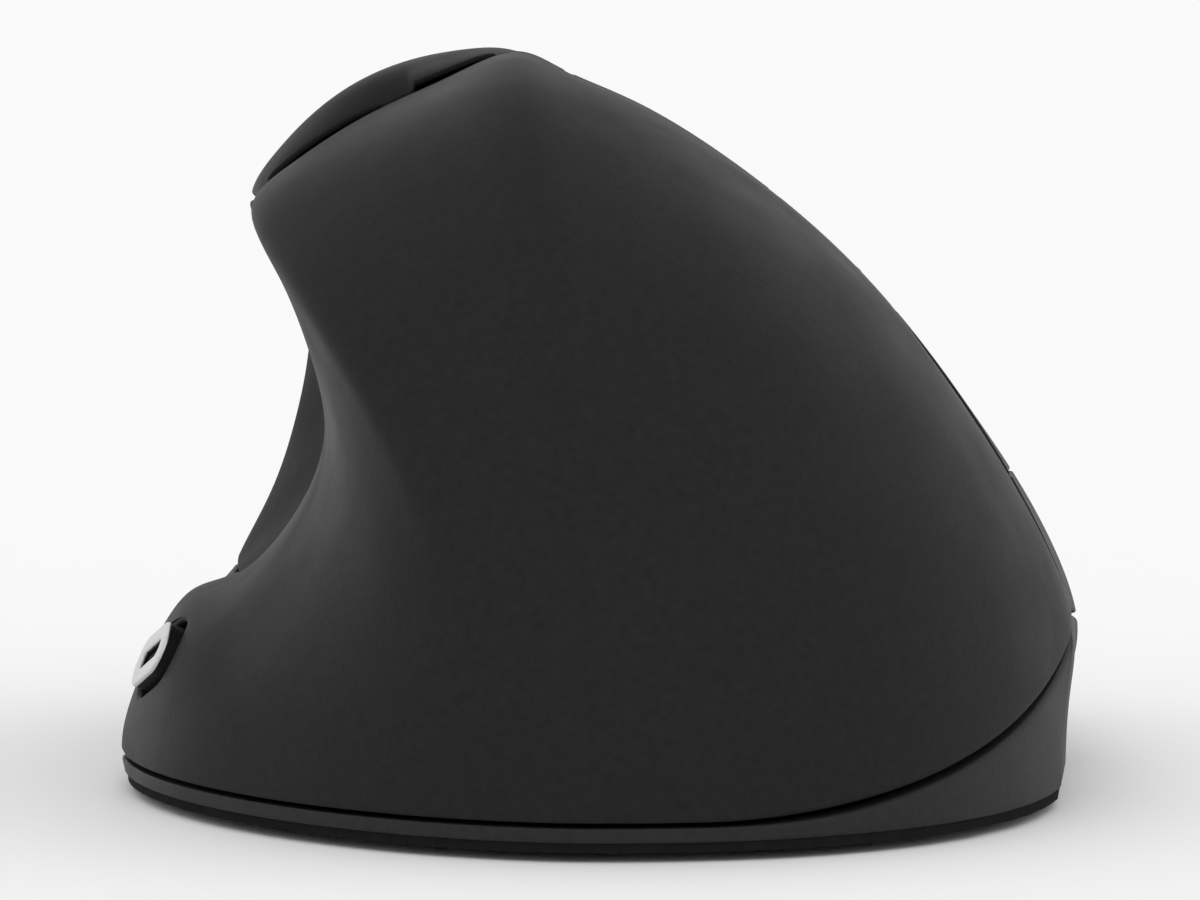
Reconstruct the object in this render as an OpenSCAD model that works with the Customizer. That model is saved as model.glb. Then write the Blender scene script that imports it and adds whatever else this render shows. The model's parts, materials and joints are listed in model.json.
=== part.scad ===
// Right-handed vertical mouse, seen from behind with the thumb at the left (-X)
// and the fingers at the right (+X).
// X is across, Y is forward and Z is up. The origin is on the desk, under the middle of the body.

/* [Body] */
// Width of the body across its widest points
body_w = 84; // [78:0.5:92]
// Length of the body from heel to nose
body_l = 120; // [112:0.5:132]
// Height of the body above the underside of the base
body_h = 63; // [59:0.5:70]
// Thickness of the moulded shells
wall = 2; // [1.6:0.1:2.4]
// Gap between neighbouring shell panels
panel_gap = 0.4; // [0.35:0.05:0.6]

/* [Base] */
// Thickness of the glide feet
foot_t = 0.8; // [0.6:0.1:1.2]
// Thickness of the bottom plate
plate_t = 1.8; // [1.5:0.1:2.6]
// Height of the bottom plate's outer edge below the base frame
plate_edge = 0.8; // [0.5:0.1:1.2]
// Height of the base frame where it is lowest
band_h = 2.2; // [1.8:0.1:3.5]
// Diameter of the case screws' shanks
screw_d = 2; // [1.6:0.1:2.6]
// Diameter of the case screws' heads
screw_head_d = 3.8; // [3.2:0.1:4.6]
// Height of the case screws' heads
screw_head_h = 0.9; // [0.7:0.1:1]

/* [Buttons] */
// Diameter of the rod that both buttons turn on
rod_d = 2; // [1.6:0.1:2.6]
// Depth of the rod below the finger side
rod_depth = 8; // [7:0.25:9]
// Thickness of the buttons' pivot lugs
lug_t = 3; // [2:0.25:4]
// Radial running clearance on pins and axles
run_clear = 0.05; // [0.03:0.01:0.1]
// Gap ahead of the buttons at the nose
front_gap = 1; // [0.9:0.1:1.4]
// Widening of the gap beside a button towards the nose
side_flare = 0.5; // [0.4:0.05:0.8]
// Gap between a button's post and its switch plunger
post_gap = 0.02; // [0.01:0.01:0.05]

/* [Wheel] */
// Diameter of the scroll wheel over its tyre
wheel_d = 22; // [19:0.5:24]
// Width of the tyre
wheel_w = 7; // [5:0.25:7.5]
// Thickness of the tyre
tyre_t = 2.4; // [1.6:0.1:3.2]
// How far the wheel stands out of its bezel
wheel_proud = 3; // [2:0.25:4]
// Diameter of the wheel's axle
axle_d = 2.4; // [2:0.1:3]
// Place of the wheel along the body
wheel_y = 22; // [20:0.5:24]

/* [Thumb keys] */
// How far the thumb keys stand proud of the cap
key_proud = 0.2; // [0.1:0.1:0.8]
// Travel of each thumb key
key_travel = 0.3; // [0.2:0.05:0.35]

/* [Speed key] */
// Length of the ring-shaped speed key
ring_l = 9; // [8:0.2:10]
// Width of the ring-shaped speed key
ring_w = 4.8; // [4.4:0.1:5.4]
// Width of the band of the ring
ring_band = 1.6; // [1.3:0.1:1.7]
// How far the ring stands out of the thumb ledge
ring_proud = 0.7; // [0.6:0.1:1.4]
// Gap between the ring and its hole
ring_gap = 0.6; // [0.4:0.05:0.8]
// Travel of the ring
ring_travel = 0.5; // [0.3:0.1:0.8]

/* [Inside] */
// Thickness of the circuit boards
board_t = 1.6; // [1:0.1:2]
// Diameter of the battery cell
cell_d = 14.2; // [13.8:0.1:14.5]
// Length of the battery cell
cell_l = 50; // [48:0.25:50.5]
// Length of a click switch
switch_l = 12.8; // [11:0.2:13.5]
// Width of a click switch
switch_w = 5.8; // [5:0.2:6.4]
// Height of a click switch without its plunger
switch_h = 6.5; // [5.5:0.1:6.8]
// Side of a small press switch
tact_w = 6; // [5:0.2:6.4]
// Height of a small press switch without its plunger
tact_h = 3.4; // [3:0.1:3.6]
// Travel of the power slider
slider_travel = 3; // [2:0.25:4]

/* [Hidden] */
$fn = 48;

// Body sections: x and height over the base of the points from the left base edge over the top to the
// right one. They are drawn for a body 84 wide, 120 long and 63 high, and stretched to the body's size.
drawn = [84, 120, 63];
drawn_mid_x = 0.507;
rear_section = [[-41.2, 0], [-41.4, 4.2], [-39.4, 10.2], [-35.9, 15.9], [-31.4, 17.8], [-26.3, 23.3],
    [-23.7, 30.6], [-25, 38], [-28, 45.2], [-30, 49.8], [-26.6, 53.4], [-20.4, 57.4], [-13.4, 60.7],
    [-7.4, 63], [-2.7, 61.2], [4, 58.2], [13, 52.4], [22.4, 44.2], [30.8, 33.9], [37.1, 23.7], [41, 14.2],
    [40.8, 7.2], [40.4, 0]];
middle_section = [[-40.4, 0], [-40.8, 4.2], [-39, 9.2], [-36, 13.7], [-31.8, 16.2], [-26, 21.9],
    [-22.8, 29.6], [-23.8, 37.4], [-28, 44.4], [-30.9, 48.8], [-26.7, 52.5], [-20.3, 56.9], [-13.2, 60.2],
    [-7.9, 61.3], [-3.3, 59.7], [3.5, 56.4], [12.8, 50.2], [22.2, 42], [31, 32.5], [38.3, 22.3], [42.5, 12],
    [41.4, 6.2], [40.6, 0]];
nose_section = [[-35, 0], [-36, 3.8], [-35.8, 8.2], [-34.6, 12.4], [-33, 16.2], [-30.3, 21.6], [-28.2, 28],
    [-27, 34.2], [-26.8, 39.8], [-26.6, 44.2], [-23.6, 48.4], [-18.6, 52.2], [-13, 54.8], [-7.6, 55.4],
    [-2.8, 53.8], [3.2, 50.8], [11.8, 45.4], [20.8, 38.2], [29.2, 29.6], [35.6, 20.6], [38.9, 11.2],
    [37.8, 5.6], [36.8, 0]];
// Bearing on the base outline, in degrees from the left, that the body's line through each section point
// runs to
bearings = [0, 10, 20, 31, 42, 52, 61, 68, 73, 76, 79, 82, 85, 89, 92, 97, 104, 115, 129, 147, 165, 174, 180];
rear_y = -10;
middle_y = 12;
nose_y = 36;
// Fullness of the round profiles at heel and nose, and of the base outline at its left, right and nose
profile_power = 2.3;
left_power = 1.75;
right_power = 2.25;
nose_power = 2.4;
// How much later the palm's lines move sideways than down
palm_lean = 2.2;
// Places of the section points that divide the panels
left_seam_i = 0.5;
ledge_i = 3.2;
corner_i = 9.1;
ridge_i = 14;
wheel_i = 16.79;
rest_i = 18.75;
lip_i = 20;
last_i = 22;
// Where the panels end at the nose, on the scale 0 base at the heel, 1 rear section, 2 nose section and
// 3 base at the nose
nose_end = 2.55;
// X at which the base frame starts to rise towards its lip
lip_x = 8;

base_z = foot_t;
edge_z = base_z + plate_edge;
deck_z = base_z + plate_t;

// A smooth curve through points: its net is found by moving each net point by what the curve misses.
function with_ends(c) = concat([2 * c[0] - c[1]], c, [2 * c[len(c) - 1] - c[len(c) - 2]]);
function net_of(p, c, passes) = passes == 0 ? with_ends(c)
    : let (e = with_ends(c))
    net_of(p, [for (i = [0:len(p) - 1]) c[i] + p[i] - (e[i] + 4 * e[i + 1] + e[i + 2]) / 6], passes - 1);
function on_net(net, s) = let (i = max(0, min(floor(s), len(net) - 4)), f = s - i)
    (pow(1 - f, 3) * net[i] + (3 * pow(f, 3) - 6 * f * f + 4) * net[i + 1]
    + (3 * f + 3 * f * f - 3 * pow(f, 3) + 1) * net[i + 2] + pow(f, 3) * net[i + 3]) / 6;
net_passes = 12;
rear_net = net_of(rear_section, rear_section, net_passes);
middle_net = net_of(middle_section, middle_section, net_passes);
nose_net = net_of(nose_section, nose_section, net_passes);
bearing_net = net_of(bearings, bearings, net_passes);

function bearing(s) = max(0, min(180, on_net(bearing_net, s)));
// Point of the base outline behind the rear section or ahead of the nose section
function outline_at(t, left, right, y0, y1, power_l, power_r) =
    let (c = cos(t), p = 2 / (c > 0 ? power_l : power_r), m = (left + right) / 2,
    side = c > 0 ? left : right)
    [m + (side - m) * pow(abs(c), p), y0 + (y1 - y0) * pow(abs(sin(t)), p)];
function heel_edge(s) = outline_at(bearing(s), rear_section[0].x, rear_section[last_i].x, rear_y,
    -drawn.y / 2, left_power, right_power);
function nose_edge(s) = outline_at(bearing(s), nose_section[0].x, nose_section[last_i].x, nose_y,
    drawn.y / 2, nose_power, nose_power);

function heel_point(s, v) = let (a = on_net(rear_net, s), b = heel_edge(s), p = 2 / profile_power,
    up = pow(sin(90 * v), p), back = pow(abs(cos(90 * v)), p))
    [b.x + (a.x - b.x) * pow(up, palm_lean), rear_y + (b.y - rear_y) * back, a.y * up];
function nose_point(s, v) = let (a = on_net(nose_net, s), b = nose_edge(s), p = 2 / profile_power,
    up = pow(abs(cos(90 * (v - 2))), p), ahead = pow(sin(90 * (v - 2)), p))
    [b.x + (a.x - b.x) * up, nose_y + (b.y - nose_y) * ahead, a.y * up];
function middle_point(s, v) = let (y = rear_y + (nose_y - rear_y) * (v - 1), a = on_net(rear_net, s),
    m = on_net(middle_net, s), b = on_net(nose_net, s), slope = (b - a) / (nose_y - rear_y),
    first = y < middle_y, span = first ? middle_y - rear_y : nose_y - middle_y,
    t = (y - (first ? rear_y : middle_y)) / span,
    q = first ? a * (1 + 2 * t) * pow(1 - t, 2) + m * t * t * (3 - 2 * t) + slope * span * t * t * (t - 1)
        : m * (1 + 2 * t) * pow(1 - t, 2) + slope * span * t * pow(1 - t, 2) + b * t * t * (3 - 2 * t))
    [q.x, y, q.y];
// The top cap swells out of the body like a pillow: it rises within a short way from its rear edge and
// dies out forward.
cap_swell = 2.7;
cap_fullness = 1.1;
cap_right_i = 13.05;
cap_rise = 8;
cap_round = 2.2;
cap_fade = [1.6, 2.3];
function cap_lift(s, v) = s <= corner_i || s >= cap_right_i || v <= 1 ? 0
    : cap_swell * pow(sin(180 * (s - corner_i) / (cap_right_i - corner_i)), cap_fullness)
    * (1 - pow(1 - min(1, (v - 1) * (nose_y - rear_y) / cap_rise), cap_round))
    * (1 - ease((v - cap_fade[0]) / (cap_fade[1] - cap_fade[0])));
function roof_out(s) = let (d = on_net(rear_net, s + 0.02) - on_net(rear_net, s - 0.02))
    [-d.y, d.x] / norm(d);
// Point of the body's outer surface: s counts section points from the left, v runs from heel to nose.
function body_point(s, v) = let (lift = cap_lift(s, v), out = lift == 0 ? [0, 0] : lift * roof_out(s),
    p = (v < 1 ? heel_point(s, v) : v <= 2 ? middle_point(s, v) : nose_point(s, v)) + [out.x, 0, out.y])
    [(p.x - drawn_mid_x) * body_w / drawn.x, p.y * body_l / drawn.y, base_z + p.z * body_h / drawn.z];

// Place on the heel line or nose line s at a height over the base
function rise(net, s, h) = pow(min(1, h * drawn.z / body_h / on_net(net, s).y), profile_power / 2);
function heel_v(s, h) = asin(rise(rear_net, s, h)) / 90;
function nose_v(s, h) = 2 + acos(rise(nose_net, s, h)) / 90;
// Height of the seam between base frame and shells, an ellipse's quarter that rises to the lip at the right
function seam_h(s, edge_x, lip) = let (end_x = edge_x(lip_i),
    t = max(0, min(1, (edge_x(s) - lip_x) / (end_x - lip_x))))
    band_h + (lip - band_h) * (1 - sqrt(1 - t * t));
heel_x = function (s) heel_edge(s).x;
nose_x = function (s) nose_edge(s).x;
rear_lip = on_net(rear_net, lip_i).y * body_h / drawn.z;
nose_lip = on_net(nose_net, lip_i).y * body_h / drawn.z;
function heel_seam(s, shift) = heel_v(s, seam_h(s, heel_x, rear_lip) + shift);
function nose_seam(s, shift) = nose_v(s, seam_h(s, nose_x, nose_lip) + shift);

// Front edge of the palm shell: at the rear section, but along the thumb ledge it sweeps on to the nose.
sweep_i = 1;
function ease(t) = let (c = max(0, min(1, t))) c * c * (3 - 2 * c);
function palm_front(s) = 1 + (nose_end - 1) * (1 - ease((s - ledge_i) / sweep_i));
// Steps of s and v that open half a panel gap
function gap_s(s, v) = panel_gap / 2 * mm_s(s, v);
gap_v = panel_gap / (nose_y - rear_y);
// Steps of s and v that are one millimetre long
function mm_s(s, v) = 0.02 / norm(body_point(s + 0.01, v) - body_point(s - 0.01, v));
function mm_v(s, v) = 0.02 / norm(body_point(s, v + 0.01) - body_point(s, v - 0.01));
// Place on the body's scale from heel to nose at a distance y
function v_at(y) = 1 + (y * drawn.y / body_l - rear_y) / (nose_y - rear_y);

function steps(a, b, n) = [for (i = [0:n]) a + (b - a) * i / n];
// Grid of places on the body: one column for each s, from v = low(s) to v = high(s)
function patch(columns, rows, low, high) = [for (s = columns)
    [for (v = steps(low(s), high(s), rows)) [s, v]]];
function near(n, i, step) = max(0, min(n - 1, i + step));
// Outward normal of the body at a place
normal_step = 0.004;
function body_normal(s, v) = let (s0 = max(0, s - normal_step), s1 = min(last_i, s + normal_step),
    v0 = max(normal_step, v - normal_step), v1 = min(3 - normal_step, v + normal_step),
    c = cross(body_point(s1, v) - body_point(s0, v), body_point(s, v1) - body_point(s, v0)))
    c / norm(c);

// A shell between two offsets of a grid of points along their normals, open at its edges or closed into
// a ring
module shell_of(g, out, outer, inner, ring) {
    n = len(g);
    m = len(g[0]);
    points = [for (d = [outer, inner]) for (i = [0:n - 1]) for (j = [0:m - 1]) g[i][j] + d * out[i][j]];
    function at(i, j) = (i % n) * m + j;
    cols = ring ? n - 1 : n - 2;
    skins = [for (i = [0:cols]) for (j = [0:m - 2])
        let (a = [at(i, j), at(i, j + 1), at(i + 1, j + 1), at(i + 1, j)], k = n * m)
        each [[a[0], a[1], a[2]], [a[0], a[2], a[3]],
            [a[2] + k, a[1] + k, a[0] + k], [a[3] + k, a[2] + k, a[0] + k]]];
    function strip(a, b) = [[a, b, b + n * m], [a, b + n * m, a + n * m]];
    ends = [for (i = [0:cols])
        each concat(strip(at(i, 0), at(i + 1, 0)), strip(at(i + 1, m - 1), at(i, m - 1)))];
    sides = ring ? [] : [for (j = [0:m - 2])
        each concat(strip(at(0, j + 1), at(0, j)), strip(at(n - 1, j), at(n - 1, j + 1)))];
    polyhedron(points, concat(skins, ends, sides));
}
module shell(places, outer, inner) shell_of([for (c = places) [for (p = c) body_point(p[0], p[1])]],
    [for (c = places) [for (p = c) body_normal(p[0], p[1])]], outer, inner, false);

// Panel between two section places over the front part of the body, with its gaps
function panel(s0, s1, columns, rows, v0, v1) = patch(
    steps(s0 + gap_s(s0, 1.4), s1 - gap_s(s1, 1.4), columns), rows,
    function (s) v0 + gap_v, function (s) min(v1, nose_seam(s, panel_gap / 2)));

// Local frames: one on the finger side, one on the thumb keys' facet, one at the speed key.
// In each, x runs along the section and z points out of the body; y stays the body's own in the first two.
function facet(s0, s1, v) = let (p = body_point(s0, v), q = body_point(s1, v))
    atan2(p.z - q.z, q.x - p.x);
middle_v = 1 + (middle_y - rear_y) / (nose_y - rear_y);
// The wheel's bezel is wide enough for the wheel's slot and an edge on each side of it.
wheel_slot = 1.2;
bezel_edge = 2.1;
slot_w = wheel_w + 2 * wheel_slot;
bezel_half_i = (slot_w / 2 + bezel_edge) * mm_s(wheel_i, v_at(wheel_y));
bezel_i = wheel_i - bezel_half_i;
right_i = wheel_i + bezel_half_i;
finger_at = body_point(wheel_i, v_at(wheel_y));
finger_tilt = facet(ridge_i, rest_i, middle_v);
// Thumb keys: places on the cap across the section and along the body
key_s = [9.75, 11.35];
back_v = [1.44, 1.7];
forward_v = [1.735, 1.99];
key_i = (key_s[0] + key_s[1]) / 2;
keys_v = (back_v[1] + forward_v[0]) / 2;
thumb_at = body_point(key_i, keys_v);
thumb_tilt = facet(key_s[0], key_s[1], keys_v);
function y_at(v) = (rear_y + (nose_y - rear_y) * (v - 1)) * body_l / drawn.y;
function key_y(range) = y_at((range[0] + range[1]) / 2);
speed_i = 2.4;
speed_v = 0.69;
speed_at = body_point(speed_i, speed_v);
speed_out = body_normal(speed_i, speed_v);
speed_tilt = atan2(speed_out.x, speed_out.z);
speed_lean = -asin(speed_out.y);
module at_fingers() translate([finger_at.x, 0, finger_at.z]) rotate([0, finger_tilt, 0]) children();
module at_thumb() translate([thumb_at.x, 0, thumb_at.z]) rotate([0, thumb_tilt, 0]) children();
module at_speed() translate(speed_at) rotate([0, speed_tilt, 0]) rotate([speed_lean, 0, 0]) children();
// X and z of a point of a local frame in the body's own frame, and the other way round
function out_of(at, tilt, x, z) =
    [at.x + x * cos(tilt) + z * sin(tilt), at.z - x * sin(tilt) + z * cos(tilt)];
function into(at, tilt, p) = [(p.x - at.x) * cos(tilt) - (p.z - at.z) * sin(tilt),
    (p.x - at.x) * sin(tilt) + (p.z - at.z) * cos(tilt)];
function finger_z(s, y) = into(finger_at, finger_tilt, body_point(s, v_at(y))).y;
function finger_x(s, y) = into(finger_at, finger_tilt, body_point(s, v_at(y))).x;
function thumb_z(s, y) = into(thumb_at, thumb_tilt, body_point(s, v_at(y))).y;

// Outline with round ends, length along y
module stadium(length, width) {
    square([width, length - width], center = true);
    for (side = [-1, 1]) translate([0, side * (length - width) / 2]) circle(d = width);
}
module box(x, y, z) translate([x[0], y[0], z[0]]) cube([x[1] - x[0], y[1] - y[0], z[1] - z[0]]);
module cross_rod(d, x, y, z) translate([x[0], y, z]) rotate([0, 90, 0]) cylinder(d = d, h = x[1] - x[0]);

// Outline of the speed key's ring, grown by a distance. The ring is turned so that its rear end stands
// higher.
ring_turn = 27;
module ring_outline(grow) rotate(ring_turn) stadium(ring_l + 2 * grow, ring_w + 2 * grow);

// Outer shells
palm_columns = concat(steps(left_seam_i, 1, 4), steps(1.4, ledge_i, 5),
    steps(ledge_i + 0.12, ledge_i + sweep_i, 8), steps(4.7, 15, 22), steps(15.6, 19.3, 8),
    steps(19.6, 19.92, 2));
module palm_shell() color([0.09, 0.09, 0.095]) difference() {
    shell(patch(palm_columns, 16, function (s) heel_seam(s, panel_gap / 2),
        function (s) min(palm_front(s + 1.4 * gap_s(s, 1.4)), nose_seam(s, panel_gap / 2))), 0, -wall);
    at_speed() translate([0, 0, ring_hole_z]) linear_extrude(2 * wall - ring_hole_z)
        ring_outline(ring_gap);
}

thumb_columns = concat(steps(ledge_i + 0.2, ledge_i + sweep_i, 6),
    steps(4.7, corner_i - gap_s(corner_i, 1.4), 9));
module thumb_panel() color([0.05, 0.05, 0.055])
    shell(patch(thumb_columns, 13, function (s) palm_front(s - 1.4 * gap_s(s, 1.4)) + gap_v,
        function (s) nose_end), 0, -wall);

key_columns = 5;
key_rows = 6;
module key_window(range) shell(patch(steps(key_s[0], key_s[1], key_columns), key_rows,
    function (s) range[0], function (s) range[1]), 2 * wall, -2 * wall);
module top_cap() color([0.11, 0.11, 0.115]) difference() {
    shell(panel(corner_i, ridge_i, 16, 22, 1, nose_end), 0, -wall);
    key_window(back_v);
    key_window(forward_v);
}

// Gap round a thumb key, in half panel gaps
key_clear = 1.8;
stem_d = 3;
thumb_board_z = -10;
tact_plunger_h = 0.9;
tact_plunger_d = 3;
plunger_clear = 0.15;
stem_z = thumb_board_z + tact_h + tact_plunger_h + post_gap;
module thumb_key(range) {
    s0 = key_s[0] + key_clear * gap_s(key_s[0], keys_v);
    s1 = key_s[1] - key_clear * gap_s(key_s[1], keys_v);
    shell(patch(steps(s0, s1, key_columns), key_rows,
        function (s) range[0] + gap_v, function (s) range[1] - gap_v), key_proud, key_proud - wall);
    at_thumb() translate([0, key_y(range), stem_z])
        cylinder(d = stem_d, h = thumb_z(key_i, key_y(range)) + key_proud - wall / 2 - stem_z);
}
module back_key() color([0.12, 0.12, 0.125]) thumb_key(back_v);
module forward_key() color([0.12, 0.12, 0.125]) thumb_key(forward_v);

// Speed key: a satin ring that slides in its hole, held by a flange behind the shell. Its upper side has
// no flange, because the ledge's wall runs there.
ring_flange = 0.8;
ring_flange_t = 1;
flange_z = -wall - 1.3;
flange_top = 1.6;
ring_hole_z = flange_z - ring_flange_t - 2 * ring_travel;
insert_clear = 0.1;
insert_sunk = 0.5;
module speed_ring() color([0.78, 0.78, 0.8]) at_speed() difference() {
    union() {
        translate([0, 0, flange_z - ring_flange_t]) linear_extrude(ring_proud - flange_z + ring_flange_t)
            ring_outline(0);
        translate([0, 0, flange_z - ring_flange_t]) linear_extrude(ring_flange_t) intersection() {
            ring_outline(ring_gap + ring_flange);
            translate([flange_top - ring_l, 0]) square(2 * ring_l, center = true);
        }
    }
    translate([0, 0, flange_z]) linear_extrude(ring_proud - flange_z + 1)
        ring_outline(-ring_band);
}
module speed_insert() color([0.03, 0.03, 0.03]) at_speed() translate([0, 0, flange_z])
    linear_extrude(ring_proud - insert_sunk - flange_z)
        ring_outline(-ring_band - insert_clear);
speed_switch_z = flange_z - ring_flange_t - post_gap - tact_plunger_h - tact_h;
speed_board_l = 18;
speed_board_w = 8;
module speed_board() color([0.05, 0.3, 0.15]) at_speed()
    translate([-speed_board_w / 2, -speed_board_l / 2, speed_switch_z - board_t])
        cube([speed_board_w, speed_board_l, board_t]);
module tact_body() difference() {
    translate([-tact_w / 2, -tact_w / 2, 0]) cube([tact_w, tact_w, tact_h]);
    translate([0, 0, tact_h / 2]) cylinder(d = tact_plunger_d + 2 * plunger_clear, h = tact_h);
}
// The plunger's foot leaves room in its switch for the travel.
module tact_plunger(travel) translate([0, 0, tact_h / 2 + travel + 0.2])
    cylinder(d = tact_plunger_d, h = tact_h / 2 + tact_plunger_h - travel - 0.2);
module speed_switch() color([0.15, 0.15, 0.16]) at_speed() translate([0, 0, speed_switch_z]) tact_body();
module speed_plunger() color([0.6, 0.6, 0.6]) at_speed() translate([0, 0, speed_switch_z])
    tact_plunger(ring_travel);

// Finger side: two buttons on one rod, the wheel's bezel between them and the rest below them
rod_y = -4;
rod_z = finger_z(wheel_i, rod_y) - rod_depth;
lug_r = rod_d / 2 + 1.2;
board_z = finger_z(wheel_i, wheel_y) + wheel_proud - wheel_d / 2 - 7;
click_y = 30;
click_plunger_h = 0.9;
click_plunger = [2, 3];
plunger_seat = 1.4;
post_d = 3.2;
post_z = board_z + switch_h + click_plunger_h + post_gap;
left_x = finger_x(bezel_i, click_y) - 9;
right_x = (finger_x(right_i, click_y) + finger_x(rest_i, click_y)) / 2;
// Lugs and the ears between which they sit, at distances from the bezel's edges
left_lugs = [for (d = [9.5, 2.5]) finger_x(bezel_i, rod_y) - d];
right_lugs = [for (d = [2.5, 8.5]) finger_x(right_i, rod_y) + d];
ear_t = 3;
ear_gap = 0.2;
left_ear = left_lugs[0] - lug_t / 2 - ear_gap;
right_ear = right_lugs[1] + lug_t / 2 + ear_gap;
// A lug under a button: it reaches up into the button's wall and holds the rod's bore.
module lug(x, s) difference() {
    union() {
        cross_rod(2 * lug_r, [x - lug_t / 2, x + lug_t / 2], rod_y, rod_z);
        box([x - lug_t / 2, x + lug_t / 2], [rod_y - lug_r, rod_y + lug_r],
            [rod_z, finger_z(s, rod_y) - wall / 2]);
    }
    cross_rod(rod_d + 2 * run_clear, [x - lug_t, x + lug_t], rod_y, rod_z);
}
function near_s(x, s0, s1) = let (a = finger_x(s0, rod_y), b = finger_x(s1, rod_y))
    s0 + (s1 - s0) * (x - a) / (b - a);
// Buttons move towards the thumb side as they dip, so that their upper edge leaves a gap that widens to
// the nose.
function button_patch(s0, s1, columns, rows) = [for (f = steps(0, 1, columns)) let (s = s0 + (s1 - s0) * f,
    end = nose_end - (front_gap - panel_gap / 2) * mm_v(s, nose_end))
    [for (v = steps(1 + gap_v, end, rows)) let (flare = side_flare * ease((v - 1) / (nose_end - 1)))
        [s0 + (panel_gap / 2 + flare) * mm_s(s0, v) + (s1 - s0 - (panel_gap + flare) * mm_s(s0, v)) * f, v]]];
module button(s0, s1, lugs, post_x) {
    post_s = (s0 + s1) / 2;
    shell(button_patch(s0, s1, 9, 14), 0, -wall);
    at_fingers() {
        for (x = lugs) lug(x, near_s(x, s0, s1));
        translate([post_x, click_y, post_z])
            cylinder(d = post_d, h = finger_z(post_s, click_y) - wall / 2 - post_z);
    }
}
module left_button() color([0.1, 0.1, 0.105]) button(ridge_i, bezel_i, left_lugs, left_x);
module right_button() color([0.1, 0.1, 0.105]) button(right_i, rest_i, right_lugs, right_x);
wheel_slot_l = wheel_d + 3;
// The slot lies a little ahead of the wheel, which dips forward with its cradle.
wheel_slot_y = wheel_y + 0.8;
module wheel_bezel() color([0.04, 0.04, 0.045]) difference() {
    shell(panel(bezel_i, right_i, 4, 14, 1, nose_end), 0, -wall);
    at_fingers() translate([0, wheel_slot_y, -4 * wall]) linear_extrude(8 * wall)
        stadium(wheel_slot_l, slot_w);
}
module finger_rest() color([0.1, 0.1, 0.105]) shell(panel(rest_i, lip_i, 5, 14, 1, nose_end), 0, -wall);
module nose_panel() color([0.06, 0.06, 0.065]) shell(patch(steps(1.3, 19.45, 30), 5,
    function (s) nose_end + gap_v, function (s) nose_seam(s, panel_gap / 2)), 0, -wall);

// Base
frame_rows = 3;
function column(p, q) = [for (t = steps(0, 1, frame_rows)) p + (q - p) * t];
heel_steps = concat(steps(left_seam_i, 1.5, 4), steps(2, 19, 34), steps(19.25, lip_i, 3));
side_steps = steps(1, 2, 12);
left_foot_i = 0.19;
right_foot_i = 21.78;
frame_places = concat(
    [for (s = heel_steps) column([s, heel_v(s, plate_edge)], [s, heel_seam(s, -panel_gap / 2)])],
    [for (v = side_steps) column([right_foot_i, v], [lip_i + gap_s(lip_i, v), v])],
    [for (k = [len(heel_steps) - 1:-1:0]) let (s = heel_steps[k])
        column([s, nose_v(s, plate_edge)], [s, nose_seam(s, -panel_gap / 2)])],
    [for (k = [len(side_steps) - 1:-1:0]) let (v = side_steps[k])
        column([left_foot_i, v], [left_seam_i - 2 * gap_s(left_seam_i, v), v])]);
// The frame's lowest row lies level on the bottom plate.
frame_points = [for (c = frame_places) [for (j = [0:frame_rows]) let (p = body_point(c[j][0], c[j][1]))
    j == 0 ? [p.x, p.y, edge_z] : p]];
function level(v) = [v.x, v.y, 0] / norm([v.x, v.y]);
frame_normals = [for (c = frame_places) [for (j = [0:frame_rows]) let (v = body_normal(c[j][0], c[j][1]))
    j == 0 ? level(v) : v]];
module base_frame() color([0.13, 0.13, 0.135]) shell_of(frame_points, frame_normals, 0, -wall, true);

// Base outline, moved inwards by a distance
frame_foot = [for (c = frame_points) [c[0].x, c[0].y]];
function inset(p, d) = let (n = len(p))
    [for (i = [0:n - 1]) let (t = p[(i + 1) % n] - p[(i + n - 1) % n]) p[i] + d * [-t.y, t.x] / norm(t)];
edge_inset = 0.3;
deck_clear = 0.5;
cell_x = -13.5;
cell_y = -10;
cell_z = deck_z + 0.4 + cell_d / 2;
bay_wall = 1.6;
bay_side_h = 9;
bay_end_h = 12;
bay_clear = 0.4;
door_w = cell_d + 2 * bay_clear;
door_l = cell_l + 1;
spring_room = 2.4;
front_room = 1.4;
front_wall_y = cell_y + cell_l / 2 + front_room;
door_clear = 0.25;
sensor_at = [12, 14];
sensor_hole = [9, 7];
slider_at = [18, -30];
slider_clear = 0.3;
slider_l = 5;
slider_slot = [3.6, slider_l + slider_travel + 2 * slider_clear];
front_rib_y = 41.5;
screw_at = [for (x = [4, 24]) each [[x, rod_y - 3.5], [x - 2, front_rib_y + 3]]];
boss_d = 6;
boss_h = 6;
standoff_at = [[0, 8], [0, 32], [28, 8]];
standoff_d = 5;
main_z = deck_z + 3;
module bay_wall_x(x) box([x, x + bay_wall],
    [cell_y - cell_l / 2 - spring_room - bay_wall, front_wall_y + bay_wall],
    [deck_z - 0.01, deck_z + bay_side_h]);
module bay_wall_y(y) box([cell_x - cell_d / 2 - bay_clear, cell_x + cell_d / 2 + bay_clear],
    [y, y + bay_wall], [deck_z - 0.01, deck_z + bay_end_h]);
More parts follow.
